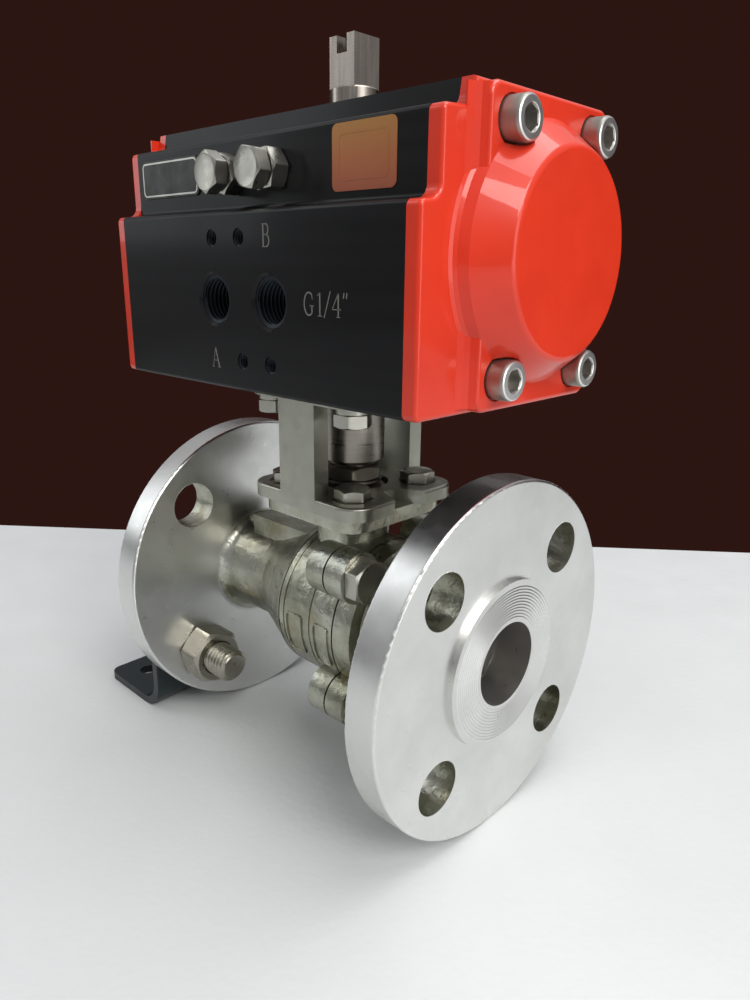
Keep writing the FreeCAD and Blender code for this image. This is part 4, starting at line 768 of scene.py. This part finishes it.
def rounded_loop(x_low, x_high, z_low, z_high, radius, count=8):
    """A closed rectangle with round corners, as (x, z) points."""
    centres = [(x_high - radius, z_high - radius, 0), (x_low + radius, z_high - radius, 90),
               (x_low + radius, z_low + radius, 180), (x_high - radius, z_low + radius, 270)]
    points = []
    for cx, cz, start in centres:
        points += arc(cx, cz, radius, radius, start, start + 90, count)
    return points


def skin_loops(bm, loops):
    """Skins closed loops round and back to the first, as a closed frame."""
    made = stack(bm, Matrix(), loops, close_start=False, close_end=False)
    bridge(bm, made[-1], made[0])


def frame_line(name, node, inset, width, height, material):
    """A raised rounded frame that follows the edge of a thin plate."""
    corner, sunk = 1.5 * MM, 0.02 * MM
    low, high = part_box(node)
    outer = rounded_loop(low[0] + inset, high[0] - inset, low[2] + inset, high[2] - inset, corner)
    reach = inset + width
    inner = rounded_loop(low[0] + reach, high[0] - reach, low[2] + reach, high[2] - reach,
                         corner - width)
    back, front = low[1] + sunk, low[1] - height
    bm = bmesh.new()
    skin_loops(bm, [[(x, y, z) for x, z in loop]
                    for loop, y in ((outer, back), (outer, front), (inner, front), (inner, back))])
    new_piece(name, bm, material, "housing")


def filled(points, parts=10):
    """The same closed loop with each of its sides cut into equal parts."""
    loop = []
    for k, (x, y) in enumerate(points):
        next_x, next_y = points[(k + 1) % len(points)]
        loop += [(x + (next_x - x) * j / parts, y + (next_y - y) * j / parts) for j in range(parts)]
    return loop


def cast_cartouches():
    """Blank raised frames in the casting, wrapped round the port side of the body."""
    wall = 25.7 * MM  # the radius of the body that they lie on
    width, rise = 0.6 * MM, 0.5 * MM
    corner, inner_corner = 1.2 * MM, 0.7 * MM
    low, high = math.radians(174) * wall, math.radians(206) * wall
    bm = bmesh.new()

    def wrapped(points, centre_x, lift):
        reach = wall + lift
        return [(centre_x + x, reach * math.cos(length / wall), reach * math.sin(length / wall))
                for x, length in points]

    for offset, half in ((-1.0 * MM, 3.8 * MM), (11.4 * MM, 3.4 * MM)):
        centre_x = STEM_X + offset
        outer = filled(rounded_loop(-half, half, low, high, corner))
        inner = filled(rounded_loop(-half + width, half - width, low + width, high - width,
                                    inner_corner))
        skin_loops(bm, [wrapped(outer, centre_x, -SINK), wrapped(outer, centre_x, rise),
                        wrapped(inner, centre_x, rise), wrapped(inner, centre_x, -SINK)])
    new_piece("cast_frames", bm, CAST, "housing")


body_bolts()
yoke_bolts("yoke_base_bolts", offset=14.85 * MM, upwards=False, turn=10)
yoke_bolts("yoke_top_bolts", offset=17.68 * MM, upwards=True, turn=20)
stop_screws()
stem_nut()
foot_fastener()
socket_screws("right", 1)
socket_screws("left", -1)
face_serrations("outlet_face_grooves", "outlet_bore", 1)
face_serrations("inlet_face_grooves", "inlet_bore", -1)
port_threads()
PORT_Z = MOUNTS["air_port_left"]["pos_m"][2]
engraving("mark_b", "B", left=STEM_X + 10.0 * MM, low=PORT_Z + 13.6 * MM)
engraving("mark_a", "A", left=STEM_X - 14.0 * MM, low=PORT_Z - 18.6 * MM)
engraving("mark_thread", 'G1/4"', left=STEM_X + 25.6 * MM, low=PORT_Z - 2.4 * MM, spread=1.14)
frame_line("badge_frame", "badge", inset=0.5 * MM, width=0.45 * MM, height=0.12 * MM,
           material=BADGE_LINE)
frame_line("label_frame", "label", inset=2.2 * MM, width=0.3 * MM, height=0.05 * MM,
           material=FOIL)
cast_cartouches()


# ---------------------------------------------------------------- stage, light and camera
def table():
    """A finite table; its far edge runs from left to right behind the valve."""
    far_left, far_right = Vector((-0.390, -0.001)), Vector((-0.025, 0.300))
    half_length, depth, thickness, gap = 1.8, 1.5, 0.03, 0.02 * MM
    edge = (far_right - far_left).normalized()
    inwards = Vector((edge.y, -edge.x))
    far_middle = (far_left + far_right) / 2
    left, right = far_middle - edge * half_length, far_middle + edge * half_length
    outline = [left, left + inwards * depth, right + inwards * depth, right]
    bm = bmesh.new()
    stack(bm, Matrix(), [[(p.x, p.y, z) for p in outline] for z in (-thickness, 0.0)])
    bmesh.ops.recalc_face_normals(bm, faces=bm.faces)
    mesh = bpy.data.meshes.new("floor")
    bm.to_mesh(mesh)
    bm.free()
    floor = bpy.data.objects.new("floor", mesh)
    floor.location.z = FLOOR_Z - gap
    bpy.context.scene.collection.objects.link(floor)
    mesh.materials.append(table_material())


def area_light(name, place, target, size, power, colour=(1, 1, 1)):
    """A rectangular light that faces its target, with its power in watts."""
    data = bpy.data.lights.new(name, "AREA")
    data.shape = "RECTANGLE"
    data.size, data.size_y = size
    data.energy = power
    data.color = colour
    light = bpy.data.objects.new(name, data)
    light.location = place
    direction = Vector(target) - Vector(place)
    light.rotation_euler = direction.to_track_quat("-Z", "Y").to_euler()
    bpy.context.scene.collection.objects.link(light)


table()
AIM = (STEM_X, 0, 0.04)
area_light("key_softbox", (0.80, -0.34, 0.88), AIM, (0.6, 0.5), 8.6, (1.0, 0.98, 0.95))
area_light("left_window", (-0.95, -0.55, 0.55), AIM, (0.35, 0.9), 1.7, (0.93, 0.98, 1.0))
area_light("top_panel", (0.2, 0.2, 1.1), AIM, (0.9, 0.6), 6.6)
area_light("outlet_fill", (0.95, -0.1, 0.25), AIM, (0.5, 0.6), 2.2)


def studio_world():
    """Soft grey room that is light overhead, with a dark wall behind the table."""
    world = bpy.data.worlds.new("studio")
    world.use_nodes = True
    nodes, links = world.node_tree.nodes, world.node_tree.links
    direction = nodes.new("ShaderNodeTexCoord").outputs["Generated"]

    def graded(value, low, high):
        made = nodes.new("ShaderNodeMapRange")
        made.inputs["From Min"].default_value = low
        made.inputs["From Max"].default_value = high
        links.new(value, made.inputs["Value"])
        return made.outputs["Result"]

    def along(axis):
        made = nodes.new("ShaderNodeVectorMath")
        made.operation = "DOT_PRODUCT"
        made.inputs[1].default_value = axis
        links.new(direction, made.inputs[0])
        return made.outputs["Value"]

    room = nodes.new("ShaderNodeValToRGB")
    # Greys from straight down to straight up, a little blue.
    greys, blue = [(0.0, 0.10), (0.49, 0.16), (0.62, 0.34), (0.8, 0.55), (1.0, 0.70)], 1.02
    while len(room.color_ramp.elements) < len(greys):
        room.color_ramp.elements.new(0.5)
    for element, (place, grey) in zip(room.color_ramp.elements, greys):
        element.position = place
        element.color = (grey, grey, grey * blue, 1)
    links.new(graded(along((0, 0, 1)), -1, 1), room.inputs["Fac"])
    behind_table = (-0.636, 0.771, 0)
    wall = graded(along(behind_table), 0.15, 0.4)
    below_ceiling = graded(along((0, 0, 1)), 0.5, 0.3)
    both = nodes.new("ShaderNodeMath")
    both.operation = "MULTIPLY"
    links.new(wall, both.inputs[0])
    links.new(below_ceiling, both.inputs[1])
    mixed = nodes.new("ShaderNodeMix")
    mixed.data_type = "RGBA"
    links.new(both.outputs["Value"], mixed.inputs[MIX_FACTOR])
    links.new(room.outputs["Color"], mixed.inputs[MIX_FIRST])
    mixed.inputs[MIX_SECOND].default_value = (0.028, 0.009, 0.007, 1)
    background = nodes["Background"]
    links.new(mixed.outputs[MIX_RESULT], background.inputs["Color"])
    background.inputs["Strength"].default_value = 0.9
    return world


bpy.context.scene.world = studio_world()
bpy.context.scene.view_settings.view_transform = "Standard"


def add_camera():
    """A phone-like lens beside the outlet, a little under the actuator's top."""
    eye = STEM + Vector((170.174, -167.576, 109.308)) * MM
    azimuth, elevation, roll = math.radians(43.711), math.radians(17.169), math.radians(0.67)
    data = bpy.data.cameras.new("camera")
    data.lens = 27.20
    data.sensor_width = 36
    back = Vector((math.sin(azimuth) * math.cos(elevation),
                   -math.cos(azimuth) * math.cos(elevation), math.sin(elevation)))
    right = Vector((math.cos(azimuth), math.sin(azimuth), 0))
    up = back.cross(right)
    turned_right = right * math.cos(roll) + up * math.sin(roll)
    turned_up = up * math.cos(roll) - right * math.sin(roll)
    rotation = Matrix((turned_right, turned_up, back)).transposed().to_4x4()
    camera = bpy.data.objects.new("camera", data)
    camera.matrix_world = Matrix.Translation(eye) @ rotation
    bpy.context.scene.collection.objects.link(camera)
    bpy.context.scene.camera = camera


add_camera()
